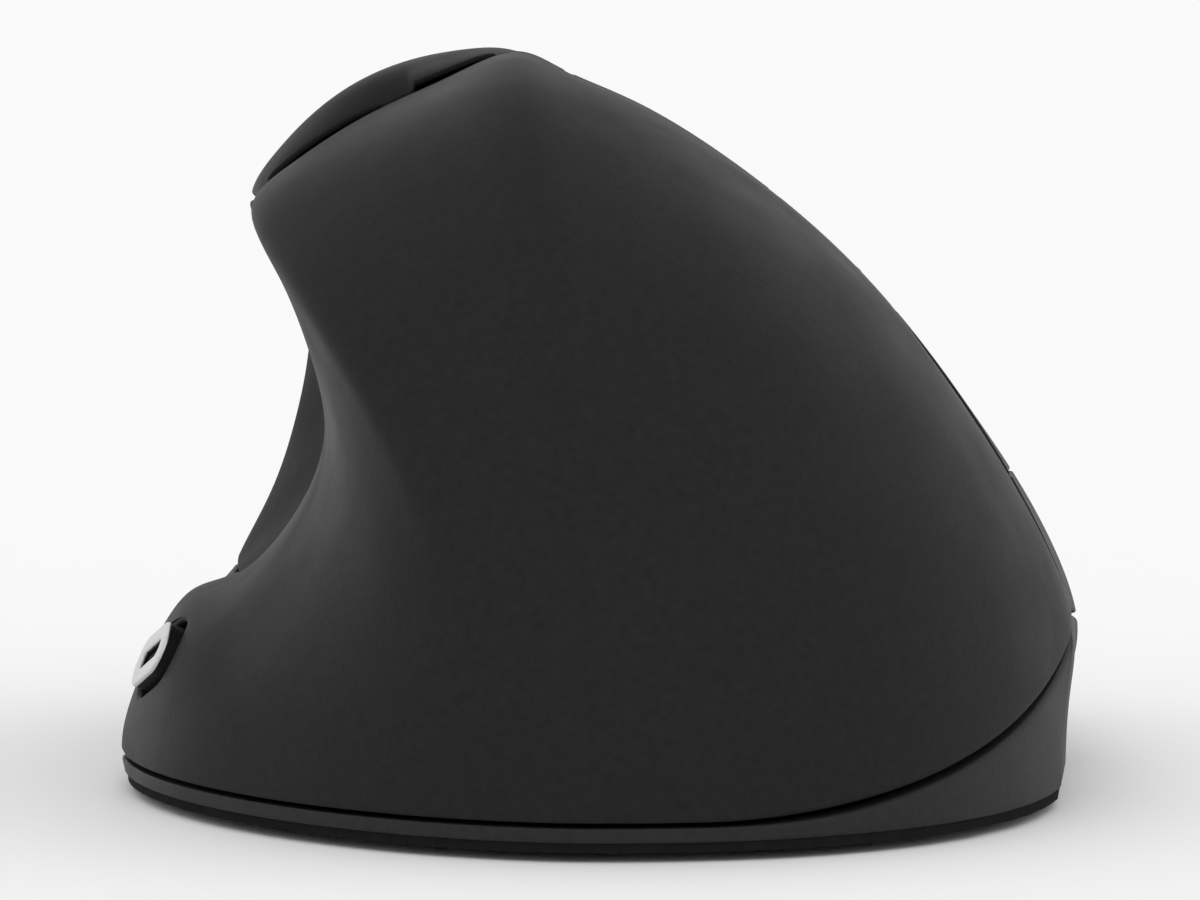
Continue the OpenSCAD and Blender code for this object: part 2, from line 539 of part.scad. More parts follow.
// Wedge that carries the speed key's small board
speed_x = [cos(speed_tilt), 0, -sin(speed_tilt)];
speed_rest = [for (k = [[-1, -1], [1, -1], [1, 1], [-1, 1]]) speed_at + k.x * speed_board_w / 2 * speed_x
    + k.y * speed_board_l / 2 * cross(speed_out, speed_x) + (speed_switch_z - board_t) * speed_out];
module speed_wedge() polyhedron(concat(speed_rest, [for (p = speed_rest) [p.x, p.y, deck_z - 0.01]]),
    concat([[3, 2, 1, 0], [4, 5, 6, 7]], [for (k = [0:3]) [k, (k + 1) % 4, (k + 1) % 4 + 4, k + 4]]));
module bottom_plate() color([0.07, 0.07, 0.075]) difference() {
    union() {
        translate([0, 0, base_z]) linear_extrude(plate_edge) polygon(inset(frame_foot, edge_inset));
        translate([0, 0, base_z]) linear_extrude(plate_t) polygon(inset(frame_foot, wall + deck_clear));
        for (x = [cell_x - cell_d / 2 - bay_clear - bay_wall, cell_x + cell_d / 2 + bay_clear]) bay_wall_x(x);
        for (y = [cell_y - cell_l / 2 - spring_room - bay_wall, front_wall_y]) bay_wall_y(y);
        for (p = standoff_at) translate([p.x, p.y, deck_z - 0.01])
            cylinder(d = standoff_d, h = main_z - deck_z + 0.01);
        speed_wedge();
    }
    box([cell_x - door_w / 2, cell_x + door_w / 2], [cell_y - door_l / 2, cell_y + door_l / 2],
        [0, deck_z + 0.02]);
    for (hole = [[sensor_at, sensor_hole], [slider_at, slider_slot]]) translate(hole[0])
        linear_extrude(2 * deck_z) square(hole[1], center = true);
    for (p = screw_at) translate([p.x, p.y, 0]) {
        cylinder(d = screw_d + 0.3, h = 2 * deck_z);
        cylinder(d = screw_head_d + 0.4, h = base_z + screw_head_h + 0.2);
    }
    for (p = standoff_at) translate([p.x, p.y, base_z + 1]) cylinder(d = screw_d + 0.04, h = main_z);
}

door_t = plate_t - 0.2;
grip_w = 12;
grip_rib = 1;
grip_at = 4;
grip_step = 1.6;
module battery_door() color([0.08, 0.08, 0.085]) difference() {
    box([cell_x - door_w / 2 + door_clear, cell_x + door_w / 2 - door_clear],
        [cell_y - door_l / 2 + door_clear, cell_y + door_l / 2 - door_clear], [base_z, base_z + door_t]);
    for (k = [0:3]) cross_rod(grip_rib, [cell_x - grip_w / 2, cell_x + grip_w / 2],
        cell_y - door_l / 2 + grip_at + grip_step * k, base_z);
}
// Glide feet: place along the body, length and width of each
feet = [[-46, 32, 6], [50, 30, 6]];
module glide_feet() color([0.2, 0.2, 0.21]) for (f = feet) translate([0, f[0], 0]) linear_extrude(foot_t)
    rotate(90) stadium(f[1], f[2]);

case_screw_l = 6;
head_z = base_z + 0.2;
module screw(head_d, head_h, length) difference() {
    union() {
        cylinder(d = head_d, h = head_h);
        cylinder(d = screw_d, h = head_h + length);
    }
    for (turn = [0, 90]) rotate(turn) translate([-head_d / 3, -0.25, -0.1]) cube([head_d * 2 / 3, 0.5, 0.6]);
}
module case_screws() color([0.3, 0.3, 0.32]) for (p = screw_at) translate([p.x, p.y, head_z])
    screw(screw_head_d, screw_head_h, case_screw_l);

// Inner frame: two ribs on the base, rails for the finger board, ears for the rod and a shelf for the
// thumb board
rib_t = 3;
rail_z = board_z - board_t;
rail_h = 3;
rails = [[-20.5, -17.5], [15.5, 18.5]];
ears = [[left_ear - ear_t, left_ear], [-ear_t, ear_t], [right_ear, right_ear + ear_t]];
shelf_z = thumb_board_z - board_t;
shelf_t = 1.8;
shelf_x = [-5, 6];
thumb_board_y = [key_y(back_v) - 5, key_y(forward_v) + 5];
// The ribs end a little short of the faces that carry the boards and of the base, where bosses stand
// under them.
rib_drop = 0.5;
rib_foot = deck_z + rib_drop;
function rib_finger(x) = out_of(finger_at, finger_tilt, x, rail_z - rib_drop);
function rib_thumb(x, z) = out_of(thumb_at, thumb_tilt, x, z);
rear_rib = [[0, rib_foot], [27, rib_foot], rib_finger(21.5), rib_finger(-24),
    rib_thumb(shelf_x[1] - rib_drop, shelf_z - rib_drop),
    rib_thumb(shelf_x[0] + rib_drop, shelf_z - rib_drop), rib_thumb(shelf_x[0] + rib_drop, shelf_z - 4),
    [-9, 30]];
front_rib = [[0, rib_foot], [24, rib_foot], rib_finger(21.5), rib_finger(-21.5), [-9, 30]];
module rib(outline, y) translate([0, y + rib_t / 2, 0]) rotate([90, 0, 0]) linear_extrude(rib_t)
    polygon(outline);
cradle_y = 6.5;
cradle_pin_d = 2;
wheel_z = board_z + 7;
arm_x = [wheel_w / 2 + 0.7, wheel_w / 2 + 2.5];
pin_ears = [arm_x[1] + 0.4, arm_x[1] + 2.6];
pin_ear_r = 1.6;
seat_clear = 0.02;
board_screw_at = [[-19, 13], [17, 13]];
module ear(x, y, z, r) {
    cross_rod(2 * r, x, y, z);
    box(x, [y - r, y + r], [rail_z - rail_h, z]);
}
module inner_frame() color([0.16, 0.16, 0.17]) difference() {
    union() {
        rib(rear_rib, rod_y);
        rib(front_rib, front_rib_y);
        for (p = screw_at) translate([p.x, p.y, deck_z]) cylinder(d = boss_d, h = boss_h);
        at_fingers() {
            for (x = rails) box(x, [rod_y, front_rib_y], [rail_z - rail_h, rail_z]);
            box([rails[0][0] + rib_drop, rails[1][1] - rib_drop],
                [cradle_y - pin_ear_r, cradle_y + pin_ear_r], [rail_z - rail_h, rail_z]);
            for (x = ears) ear(x, rod_y, rod_z, lug_r);
            for (x = [pin_ears, [-pin_ears[1], -pin_ears[0]]]) ear(x, cradle_y, wheel_z, pin_ear_r);
        }
        at_thumb() box(shelf_x, [rod_y, thumb_board_y[1]], [shelf_z - shelf_t, shelf_z]);
    }
    for (p = screw_at) translate([p.x, p.y, 0])
        cylinder(d = screw_d + 2 * seat_clear, h = deck_z + boss_h - 0.5);
    at_fingers() {
        cross_rod(rod_d + 2 * seat_clear, [ears[0][0] - 1, ears[2][1] + 1], rod_y, rod_z);
        cross_rod(cradle_pin_d + 2 * seat_clear, [-pin_ears[1] - 1, pin_ears[1] + 1], cradle_y, wheel_z);
        for (p = board_screw_at) translate([p.x, p.y, rail_z - rail_h - 1])
            cylinder(d = screw_d + 2 * seat_clear, h = rail_h + 2);
    }
}
module pivot_rod() color([0.7, 0.7, 0.72]) at_fingers()
    cross_rod(rod_d, [ears[0][0], ears[2][1]], rod_y, rod_z);

// Finger board with its switches
finger_board_x = [-21.5, 21.5];
finger_board_y = [9.5, 39.5];
module finger_board() color([0.05, 0.3, 0.15]) at_fingers() difference() {
    box(finger_board_x, finger_board_y, [rail_z, board_z]);
    translate([0, wheel_y, rail_z - 1]) linear_extrude(board_t + 2) stadium(22, wheel_w + 2);
    for (p = board_screw_at) translate([p.x, p.y, rail_z - 1]) cylinder(d = screw_d + 0.3, h = board_t + 2);
}
module click_switch(x) at_fingers() difference() {
    translate([x - switch_w / 2, click_y - switch_l / 2, board_z]) cube([switch_w, switch_l, switch_h]);
    translate([x - click_plunger.x / 2 - 0.2, click_y - click_plunger.y / 2 - 0.2, board_z + switch_h - 2.4])
        cube([click_plunger.x + 0.4, click_plunger.y + 0.4, 3]);
}
module click_plunger_at(x) at_fingers()
    translate([x - click_plunger.x / 2, click_y - click_plunger.y / 2, board_z + switch_h - plunger_seat])
        cube([click_plunger.x, click_plunger.y, plunger_seat + click_plunger_h]);
module left_switch() color([0.12, 0.12, 0.13]) click_switch(left_x);
module right_switch() color([0.12, 0.12, 0.13]) click_switch(right_x);
module left_plunger() color([0.85, 0.85, 0.8]) click_plunger_at(left_x);
module right_plunger() color([0.85, 0.85, 0.8]) click_plunger_at(right_x);
middle_at = [-arm_x[0] - tact_w / 2, 29.5];
middle_travel = 0.5;
module middle_switch() color([0.15, 0.15, 0.16]) at_fingers() translate([middle_at.x, middle_at.y, board_z])
    tact_body();
module middle_plunger() color([0.6, 0.6, 0.6]) at_fingers() translate([middle_at.x, middle_at.y, board_z])
    tact_plunger(middle_travel);

// Scroll wheel
hub_r = wheel_d / 2 - tyre_t;
groove_n = 24;
groove_r = 0.45;
tyre_round = 0.6;
module about_wheel() at_fingers() translate([0, wheel_y, wheel_z]) rotate([0, 90, 0]) children();
module wheel_tyre() color([0.06, 0.06, 0.06]) about_wheel() difference() {
    rotate_extrude($fn = 96) translate([hub_r, -wheel_w / 2]) difference() {
        square([tyre_t, wheel_w]);
        for (z = [0, wheel_w]) translate([tyre_t, z]) circle(r = tyre_round);
    }
    for (k = [1:groove_n]) rotate(360 / groove_n * k) translate([wheel_d / 2, 0, -wheel_w])
        cylinder(r = groove_r, h = 2 * wheel_w);
}
module wheel_hub() color([0.2, 0.2, 0.21]) about_wheel() difference() {
    cylinder(r = hub_r - seat_clear, h = wheel_w - 0.6, center = true);
    cylinder(d = axle_d + 2 * seat_clear, h = 2 * wheel_w, center = true);
    for (side = [-1, 1]) translate([0, 0, side * wheel_w / 2]) difference() {
        cylinder(r = hub_r - 1.6, h = 3, center = true);
        cylinder(r = 3, h = 4, center = true);
    }
}
axle_x = [-arm_x[1] - 0.4, 11.6];
module wheel_axle() color([0.7, 0.7, 0.72]) at_fingers() cross_rod(axle_d, axle_x, wheel_y, wheel_z);
encoder_x = [arm_x[1] + 0.8, arm_x[1] + 4.8];
rotor_d = 4.4;
module encoder_rotor() color([0.8, 0.8, 0.78]) at_fingers() difference() {
    cross_rod(rotor_d, encoder_x, wheel_y, wheel_z);
    cross_rod(axle_d + 2 * seat_clear, [0, 2 * encoder_x[1]], wheel_y, wheel_z);
}
module wheel_encoder() color([0.1, 0.25, 0.4]) at_fingers() difference() {
    box(encoder_x, [wheel_y - 5.5, wheel_y + 5.5], [board_z, board_z + 10.5]);
    cross_rod(rotor_d + 1.4, [0, 2 * encoder_x[1]], wheel_y, wheel_z);
}
arm_low = board_z + tact_h + tact_plunger_h + post_gap;
arm_top = wheel_z + 2.4;
bar_y = [cradle_y + 1.9, wheel_y - wheel_d / 2 - 0.6];
module wheel_cradle() color([0.2, 0.2, 0.21]) at_fingers() difference() {
    union() {
        for (side = [-1, 1]) {
            x = side > 0 ? arm_x : [-arm_x[1], -arm_x[0]];
            box(x, [cradle_y, wheel_y + 3], [arm_low, arm_top]);
            cross_rod(arm_top - arm_low, x, cradle_y, (arm_top + arm_low) / 2);
        }
        box([-arm_x[1], arm_x[1]], bar_y, [arm_low, arm_top]);
        box([-arm_x[1], -arm_x[0]], [wheel_y, middle_at.y + 2.5], [arm_low, arm_low + 1.8]);
        box([middle_at.x - 2, -arm_x[0]], [middle_at.y - 2.5, middle_at.y + 2.5], [arm_low, arm_low + 1.8]);
    }
    cross_rod(axle_d + 2 * run_clear, [-20, 20], wheel_y, wheel_z);
    cross_rod(cradle_pin_d + 2 * run_clear, [-20, 20], cradle_y, wheel_z);
}
module cradle_pin() color([0.7, 0.7, 0.72]) at_fingers()
    cross_rod(cradle_pin_d, [-pin_ears[1], pin_ears[1]], cradle_y, wheel_z);

// Thumb board with its switches
thumb_board_x = [-5.5, 6.5];
module thumb_board() color([0.05, 0.3, 0.15]) at_thumb()
    box(thumb_board_x, thumb_board_y, [shelf_z, thumb_board_z]);
function key_at(range) = [0, key_y(range), thumb_board_z];
module back_switch() color([0.15, 0.15, 0.16]) at_thumb() translate(key_at(back_v)) tact_body();
module forward_switch() color([0.15, 0.15, 0.16]) at_thumb() translate(key_at(forward_v)) tact_body();
module back_plunger() color([0.6, 0.6, 0.6]) at_thumb() translate(key_at(back_v)) tact_plunger(key_travel);
module forward_plunger() color([0.6, 0.6, 0.6]) at_thumb() translate(key_at(forward_v))
    tact_plunger(key_travel);

// Main board, sensor and power
main_x = [-3, 31];
main_y = [3, 38];
chip = [10, 12, 2.6];
module main_board() color([0.05, 0.3, 0.15]) difference() {
    box(main_x, main_y, [main_z, main_z + board_t]);
    for (p = standoff_at) translate([p.x, p.y, main_z - 1]) cylinder(d = screw_d + 0.3, h = board_t + 2);
    translate([sensor_at.x - 3, sensor_at.y - 2, main_z - 1]) cube([6, 4, board_t + 2]);
}
module sensor_chip() color([0.08, 0.08, 0.09])
    translate([sensor_at.x - chip.x / 2, sensor_at.y - chip.y / 2, main_z + board_t]) cube(chip);
lens_clear = 0.2;
lens_flange = 2;
lens_flange_t = 1.2;
lens_sunk = 0.6;
module sensor_lens() color([0.85, 0.9, 0.95]) difference() {
    union() {
        box([sensor_at.x - sensor_hole.x / 2 + lens_clear, sensor_at.x + sensor_hole.x / 2 - lens_clear],
            [sensor_at.y - sensor_hole.y / 2 + lens_clear, sensor_at.y + sensor_hole.y / 2 - lens_clear],
            [base_z + lens_sunk, main_z]);
        box([sensor_at.x - sensor_hole.x / 2 - lens_flange, sensor_at.x + sensor_hole.x / 2 + lens_flange],
            [sensor_at.y - sensor_hole.y / 2 - lens_flange, sensor_at.y + sensor_hole.y / 2 + lens_flange],
            [deck_z, deck_z + lens_flange_t]);
    }
    translate([sensor_at.x, sensor_at.y, base_z]) cylinder(d = 4, h = 1.4);
}
cap_d = 5.4;
cap_l = 1;
module battery_cell() color([0.75, 0.62, 0.3])
    translate([cell_x, cell_y - cell_l / 2, cell_z]) rotate([-90, 0, 0]) {
        cylinder(d = cell_d, h = cell_l - cap_l);
        cylinder(d = cap_d, h = cell_l);
    }
// Contact spring: a wire wound along the cell, from the bay wall to the cell's end
wire_d = 0.6;
coil_d = 8;
coil_turns = 2.5;
coil_l = spring_room - wire_d;
coil_steps = 40;
wire_sides = 6;
coil_taper = 0.35;
coil_points = [for (k = [0:coil_steps])
    let (a = 360 * coil_turns * k / coil_steps, r = coil_d / 2 * (1 - coil_taper * k / coil_steps))
    for (q = [0:wire_sides - 1]) let (b = 360 * q / wire_sides, d = r + wire_d / 2 * cos(b))
    [d * cos(a), coil_l * k / coil_steps + wire_d / 2 * sin(b), d * sin(a)]];
coil_faces = concat([for (k = [0:coil_steps - 1]) for (q = [0:wire_sides - 1])
    let (p = k * wire_sides + q, n = k * wire_sides + (q + 1) % wire_sides)
    each [[n, p, n + wire_sides], [n + wire_sides, p, p + wire_sides]]],
    [for (q = [1:wire_sides - 2]) [0, q, q + 1]],
    [for (q = [1:wire_sides - 2]) [0, q + 1, q] + coil_steps * wire_sides * [1, 1, 1]]);
module contact_spring() color([0.75, 0.75, 0.76])
    translate([cell_x, cell_y - cell_l / 2 - spring_room + wire_d / 2, cell_z])
        polyhedron(coil_points, coil_faces);
contact_t = 0.4;
contact_w = 10;
contact_clear = 0.05;
module contact_plate() color([0.75, 0.75, 0.76]) {
    box([cell_x - contact_w / 2, cell_x + contact_w / 2], [front_wall_y - contact_t, front_wall_y],
        [cell_z - contact_w / 2, cell_z + contact_w / 2]);
    translate([cell_x, cell_y + cell_l / 2 + contact_clear, cell_z]) rotate([-90, 0, 0])
        cylinder(d = 4, h = front_room - contact_clear);
}
stem = [1.6, 2];
stem_h = 2;
power_box = [7, 13, 4];
module power_switch() color([0.6, 0.6, 0.62]) difference() {
    box([slider_at.x - power_box.x / 2, slider_at.x + power_box.x / 2],
        [slider_at.y - power_box.y / 2, slider_at.y + power_box.y / 2], [deck_z, deck_z + power_box.z]);
    translate([slider_at.x, slider_at.y, deck_z - 1]) linear_extrude(stem_h + 1.5)
        square([stem.x, stem.y + slider_travel] + 2 * slider_clear * [1, 1], center = true);
}
slider_sunk = 0.3;
// The slider rests at the rear end of its slot, where the mouse is off.
module power_slider() color([0.85, 0.85, 0.86])
    translate([slider_at.x, slider_at.y - slider_travel / 2, 0]) {
        difference() {
            box([-slider_slot.x / 2 + slider_clear, slider_slot.x / 2 - slider_clear],
                [-slider_l / 2, slider_l / 2], [base_z + slider_sunk, deck_z - 0.1]);
            for (k = [-1:1]) translate([0, 1.4 * k, base_z + slider_sunk]) rotate([0, 90, 0])
                cylinder(r = 0.35, h = 10, center = true);
        }
        box([-stem.x / 2, stem.x / 2], [-stem.y / 2, stem.y / 2], [deck_z - 0.5, deck_z + stem_h]);
    }

// Ribbon cables: a band of even thickness along a smooth path in the section plane
ribbon_t = 0.4;
module ribbon(path, y, width) {
    net = net_of(path, path, net_passes);
    track = [for (k = [0:4 * (len(path) - 1)]) on_net(net, k / 4)];
    n = len(track);
    side = [for (i = [0:n - 1]) let (t = track[near(n, i, 1)] - track[near(n, i, -1)])
        [-t.y, t.x] / norm(t) * ribbon_t / 2];
    translate([0, y + width, 0]) rotate([90, 0, 0]) linear_extrude(width)
        polygon(concat([for (i = [0:n - 1]) track[i] + side[i]],
            [for (i = [n - 1:-1:0]) track[i] - side[i]]));
}
ribbon_lift = ribbon_t / 2 + 0.2;
main_top = main_z + board_t + ribbon_lift;
finger_path = [out_of(finger_at, finger_tilt, finger_board_x[1] - 3, board_z + ribbon_lift),
    out_of(finger_at, finger_tilt, finger_board_x[1] + 0.5, board_z + ribbon_lift),
    out_of(finger_at, finger_tilt, finger_board_x[1] + 2.5, board_z - 2),
    [main_x[1] - 1, 12.5], [main_x[1] + 0.4, 9.2], [main_x[1] - 1, main_top], [main_x[1] - 4, main_top]];
module finger_ribbon() color([0.85, 0.85, 0.82]) ribbon(finger_path, 15.5, 7.5);
// The thumb board's ribbon passes midway between the shelf and the finger board, then the rail at a
// distance, and reaches the main board at its side.
rail_clear = 1.5;
ribbon_pass = (out_of(thumb_at, thumb_tilt, shelf_x[1], shelf_z - shelf_t)
    + out_of(finger_at, finger_tilt, finger_board_x[0], rail_z)) / 2;
ribbon_drop = out_of(finger_at, finger_tilt, rails[0][0], rail_z - rail_h) - [rail_clear, 0];
ribbon_end = [main_x[0] - 0.6, main_top + 4];
thumb_path = [out_of(thumb_at, thumb_tilt, thumb_board_x[1] - 2.5, thumb_board_z + ribbon_lift),
    out_of(thumb_at, thumb_tilt, thumb_board_x[1] + 0.2, thumb_board_z + ribbon_lift),
    out_of(thumb_at, thumb_tilt, thumb_board_x[1] + 1.6, thumb_board_z - 1.6),
    ribbon_pass, ribbon_drop, (ribbon_drop + ribbon_end) / 2, ribbon_end,
    [main_x[0] + 0.6, main_top + 1.2], [main_x[0] + 2, main_top], [main_x[0] + 5, main_top]];
thumb_ribbon_w = 3.6;
module thumb_ribbon() color([0.85, 0.85, 0.82])
    ribbon(thumb_path, (key_y(back_v) + key_y(forward_v) - thumb_ribbon_w) / 2, thumb_ribbon_w);

board_head_h = 1.2;
board_screw_l = 4;
module board_screw() mirror([0, 0, 1]) translate([0, 0, -board_head_h])
    screw(screw_head_d, board_head_h, board_screw_l);
module board_screws() color([0.3, 0.3, 0.32]) {
    for (p = standoff_at) translate([p.x, p.y, main_z + board_t]) board_screw();
    at_fingers() for (p = board_screw_at) translate([p.x, p.y, board_z]) board_screw();
}

palm_shell();
thumb_panel();
top_cap();
back_key();
forward_key();
speed_ring();
speed_insert();
left_button();
right_button();
wheel_bezel();
finger_rest();
nose_panel();
base_frame();
bottom_plate();
battery_door();
glide_feet();
case_screws();
inner_frame();
pivot_rod();
finger_board();
left_switch();
right_switch();
left_plunger();
right_plunger();
middle_switch();
middle_plunger();
wheel_tyre();
wheel_hub();
wheel_axle();
wheel_cradle();
cradle_pin();
wheel_encoder();
encoder_rotor();
thumb_board();
back_switch();
forward_switch();
back_plunger();
forward_plunger();
speed_board();
speed_switch();
speed_plunger();
main_board();
sensor_chip();
sensor_lens();
battery_cell();
contact_spring();
contact_plate();
power_switch();
power_slider();
finger_ribbon();
thumb_ribbon();
board_screws();
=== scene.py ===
import json
import math
import bpy
import numpy as np
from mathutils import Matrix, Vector


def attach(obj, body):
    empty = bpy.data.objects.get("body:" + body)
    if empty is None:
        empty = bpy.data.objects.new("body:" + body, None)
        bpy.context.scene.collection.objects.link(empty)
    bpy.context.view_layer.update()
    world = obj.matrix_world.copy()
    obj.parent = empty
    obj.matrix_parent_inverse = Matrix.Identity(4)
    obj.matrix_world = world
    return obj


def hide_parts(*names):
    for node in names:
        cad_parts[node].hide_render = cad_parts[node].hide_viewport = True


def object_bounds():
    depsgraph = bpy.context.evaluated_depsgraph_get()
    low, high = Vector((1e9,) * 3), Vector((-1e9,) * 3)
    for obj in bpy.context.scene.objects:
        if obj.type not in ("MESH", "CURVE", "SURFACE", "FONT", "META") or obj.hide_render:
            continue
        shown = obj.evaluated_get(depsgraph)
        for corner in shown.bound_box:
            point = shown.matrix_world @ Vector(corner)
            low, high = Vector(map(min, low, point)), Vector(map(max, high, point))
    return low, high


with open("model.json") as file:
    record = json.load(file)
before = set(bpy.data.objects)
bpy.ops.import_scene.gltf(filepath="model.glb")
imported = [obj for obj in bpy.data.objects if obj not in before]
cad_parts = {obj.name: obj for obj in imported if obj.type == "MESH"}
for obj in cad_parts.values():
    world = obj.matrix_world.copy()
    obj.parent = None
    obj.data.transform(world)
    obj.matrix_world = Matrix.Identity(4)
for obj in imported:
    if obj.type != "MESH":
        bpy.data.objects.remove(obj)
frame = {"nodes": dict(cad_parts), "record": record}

cad_box = [list(v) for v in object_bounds()]
scene = bpy.context.scene
MM = 0.001

# Body surface: the same sections and blends as the part's source, in millimetres.
# A place on it has two numbers. s counts the points of a section, from the foot of the thumb side over the
# ridge to the foot of the finger side. v runs from the heel's foot (0) over the rear section (1) and the nose
# section (2) to the nose's foot (3).
BODY_W, BODY_L, BODY_H = 84.0, 120.0, 63.0
# Size at which the sections are drawn, and the middle of their width
DRAWN_W, DRAWN_L, DRAWN_H = 84.0, 120.0, 63.0
DRAWN_MID_X = 0.507
WALL = 2.0
PANEL_GAP = 0.4
FOOT_T, PLATE_EDGE, BAND_H = 0.8, 0.8, 2.2
BASE_Z, EDGE_Z = FOOT_T, FOOT_T + PLATE_EDGE
# Sections as points (x, z)
REAR = np.array([
    [-41.2, 0], [-41.4, 4.2], [-39.4, 10.2], [-35.9, 15.9], [-31.4, 17.8], [-26.3, 23.3],
    [-23.7, 30.6], [-25, 38], [-28, 45.2], [-30, 49.8], [-26.6, 53.4], [-20.4, 57.4],
    [-13.4, 60.7], [-7.4, 63], [-2.7, 61.2], [4, 58.2], [13, 52.4], [22.4, 44.2],
    [30.8, 33.9], [37.1, 23.7], [41, 14.2], [40.8, 7.2], [40.4, 0]], float)
MIDDLE = np.array([
    [-40.4, 0], [-40.8, 4.2], [-39, 9.2], [-36, 13.7], [-31.8, 16.2], [-26, 21.9],
    [-22.8, 29.6], [-23.8, 37.4], [-28, 44.4], [-30.9, 48.8], [-26.7, 52.5], [-20.3, 56.9],
    [-13.2, 60.2], [-7.9, 61.3], [-3.3, 59.7], [3.5, 56.4], [12.8, 50.2], [22.2, 42],
    [31, 32.5], [38.3, 22.3], [42.5, 12], [41.4, 6.2], [40.6, 0]], float)
NOSE = np.array([
    [-35, 0], [-36, 3.8], [-35.8, 8.2], [-34.6, 12.4], [-33, 16.2], [-30.3, 21.6],
    [-28.2, 28], [-27, 34.2], [-26.8, 39.8], [-26.6, 44.2], [-23.6, 48.4], [-18.6, 52.2],
    [-13, 54.8], [-7.6, 55.4], [-2.8, 53.8], [3.2, 50.8], [11.8, 45.4], [20.8, 38.2],
    [29.2, 29.6], [35.6, 20.6], [38.9, 11.2], [37.8, 5.6], [36.8, 0]], float)
# Bearing of each point round the foot, in degrees from the thumb side to the finger side
BEARINGS = np.array([
    0, 10, 20, 31, 42, 52, 61, 68, 73, 76, 79, 82, 85, 89, 92, 97, 104, 115, 129, 147, 165, 174, 180], float)
# Where the sections stand along y
REAR_Y, MIDDLE_Y, NOSE_Y = -10.0, 12.0, 36.0
SPAN_Y = NOSE_Y - REAR_Y
MIDDLE_V = 1 + (MIDDLE_Y - REAR_Y) / SPAN_Y
# Roundness of the profile and of the foot's outline, and how far the heel leans
PROFILE, LEFT_POWER, RIGHT_POWER, NOSE_POWER, LEAN = 2.3, 1.75, 2.25, 2.4, 2.2
# Places s of the seams and edges between the panels
LEFT_SEAM, LEDGE, CORNER, RIDGE, REST, LIP, LAST = 0.5, 3.2, 9.1, 14.0, 18.75, 20.0, 22.0
# Range in s over which the palm's front edge sweeps forward, and the place v where the nose panel begins
SWEEP, NOSE_END = 1.0, 2.55
SWEEP_END = LEDGE + SWEEP
# x from which the base rises to its lip
LIP_X = 8.0
# Swell of the top cap: height, shape across, its end in s, length and shape of its rise, and its fade in v
CAP_SWELL, CAP_FULLNESS, CAP_RIGHT, CAP_RISE, CAP_ROUND, CAP_FADE = 2.7, 1.1, 13.05, 8.0, 2.2, (1.6, 2.3)
# Steps for slopes of the surface, passes of the searches, and the least divisor
SECTION_STEP, NORMAL_STEP, MEASURE_STEP = 0.02, 0.004, 0.01
PASSES = 12
TINY = 1e-6


def with_ends(c):
    """A row of control points with one more at each end, in line with its neighbours."""
    return np.concatenate([[2 * c[0] - c[1]], c, [2 * c[-1] - c[-2]]])


def net_of(p):
    """Control points of the smooth curve that runs through the points p."""
    c = p.copy()
    for _ in range(PASSES):
        e = with_ends(c)
        c = c + p - (e[:-2] + 4 * e[1:-1] + e[2:]) / 6
    return with_ends(c)


REAR_NET, MIDDLE_NET, NOSE_NET, BEARING_NET = net_of(REAR), net_of(MIDDLE), net_of(NOSE), net_of(BEARINGS)


def on_net(net, s):
    """Point at the place s of a curve given by its control points."""
    s = np.asarray(s, float)
    i = np.clip(np.floor(s).astype(int), 0, len(net) - 4)
    f = s - i
    if net.ndim > 1:
        f = f[..., None]
    return ((1 - f) ** 3 * net[i] + (3 * f ** 3 - 6 * f ** 2 + 4) * net[i + 1]
            + (3 * f + 3 * f ** 2 - 3 * f ** 3 + 1) * net[i + 2] + f ** 3 * net[i + 3]) / 6


def outline_at(s, section, y0, y1, power_l, power_r):
    """Point (x, y) of the foot's rounded outline, from a section at y0 to its end at y1."""
    t = np.radians(np.clip(on_net(BEARING_NET, s), 0, 180))
    c, q = np.cos(t), np.abs(np.sin(t))
    p = 2 / np.where(c > 0, power_l, power_r)
    left, right = section[0, 0], section[-1, 0]
    mid = (left + right) / 2
    x = mid + (np.where(c > 0, left, right) - mid) * np.abs(c) ** p
    return x, y0 + (y1 - y0) * q ** p


def heel_edge(s):
    return outline_at(s, REAR, REAR_Y, -DRAWN_L / 2, LEFT_POWER, RIGHT_POWER)


def nose_edge(s):
    return outline_at(s, NOSE, NOSE_Y, DRAWN_L / 2, NOSE_POWER, NOSE_POWER)


def ease(t):
    """Smooth step from 0 to 1."""
    c = np.clip(t, 0, 1)
    return c * c * (3 - 2 * c)


def rise(q, start, width):
    """Smooth step of q that begins at start and is 1 after width."""
    return ease((q - start) / width)


def cap_lift(s, v):
    """How far the top cap swells out of the body."""
    place = np.clip((s - CORNER) / (CAP_RIGHT - CORNER), 0, 1)
    across = np.sin(math.pi * place).clip(0, 1) ** CAP_FULLNESS
    along = 1 - (1 - np.clip((v - 1) * SPAN_Y / CAP_RISE, 0, 1)) ** CAP_ROUND
    return CAP_SWELL * across * along * (1 - rise(v, CAP_FADE[0], CAP_FADE[1] - CAP_FADE[0]))


def rounded(t):
    """Two shares along a rounded profile: the first goes from 0 to 1, the second from 1 to 0."""
    w = np.radians(90 * np.clip(t, 0, 1))
    return np.sin(w) ** (2 / PROFILE), np.abs(np.cos(w)) ** (2 / PROFILE)


def heel_part(s, v, rear):
    """Rounded heel behind the rear section."""
    up, back = rounded(v)
    ex, ey = heel_edge(s)
    x = ex + (rear[..., 0] - ex) * up ** LEAN
    return np.stack([x, REAR_Y + (ey - REAR_Y) * back, rear[..., 1] * up], -1)


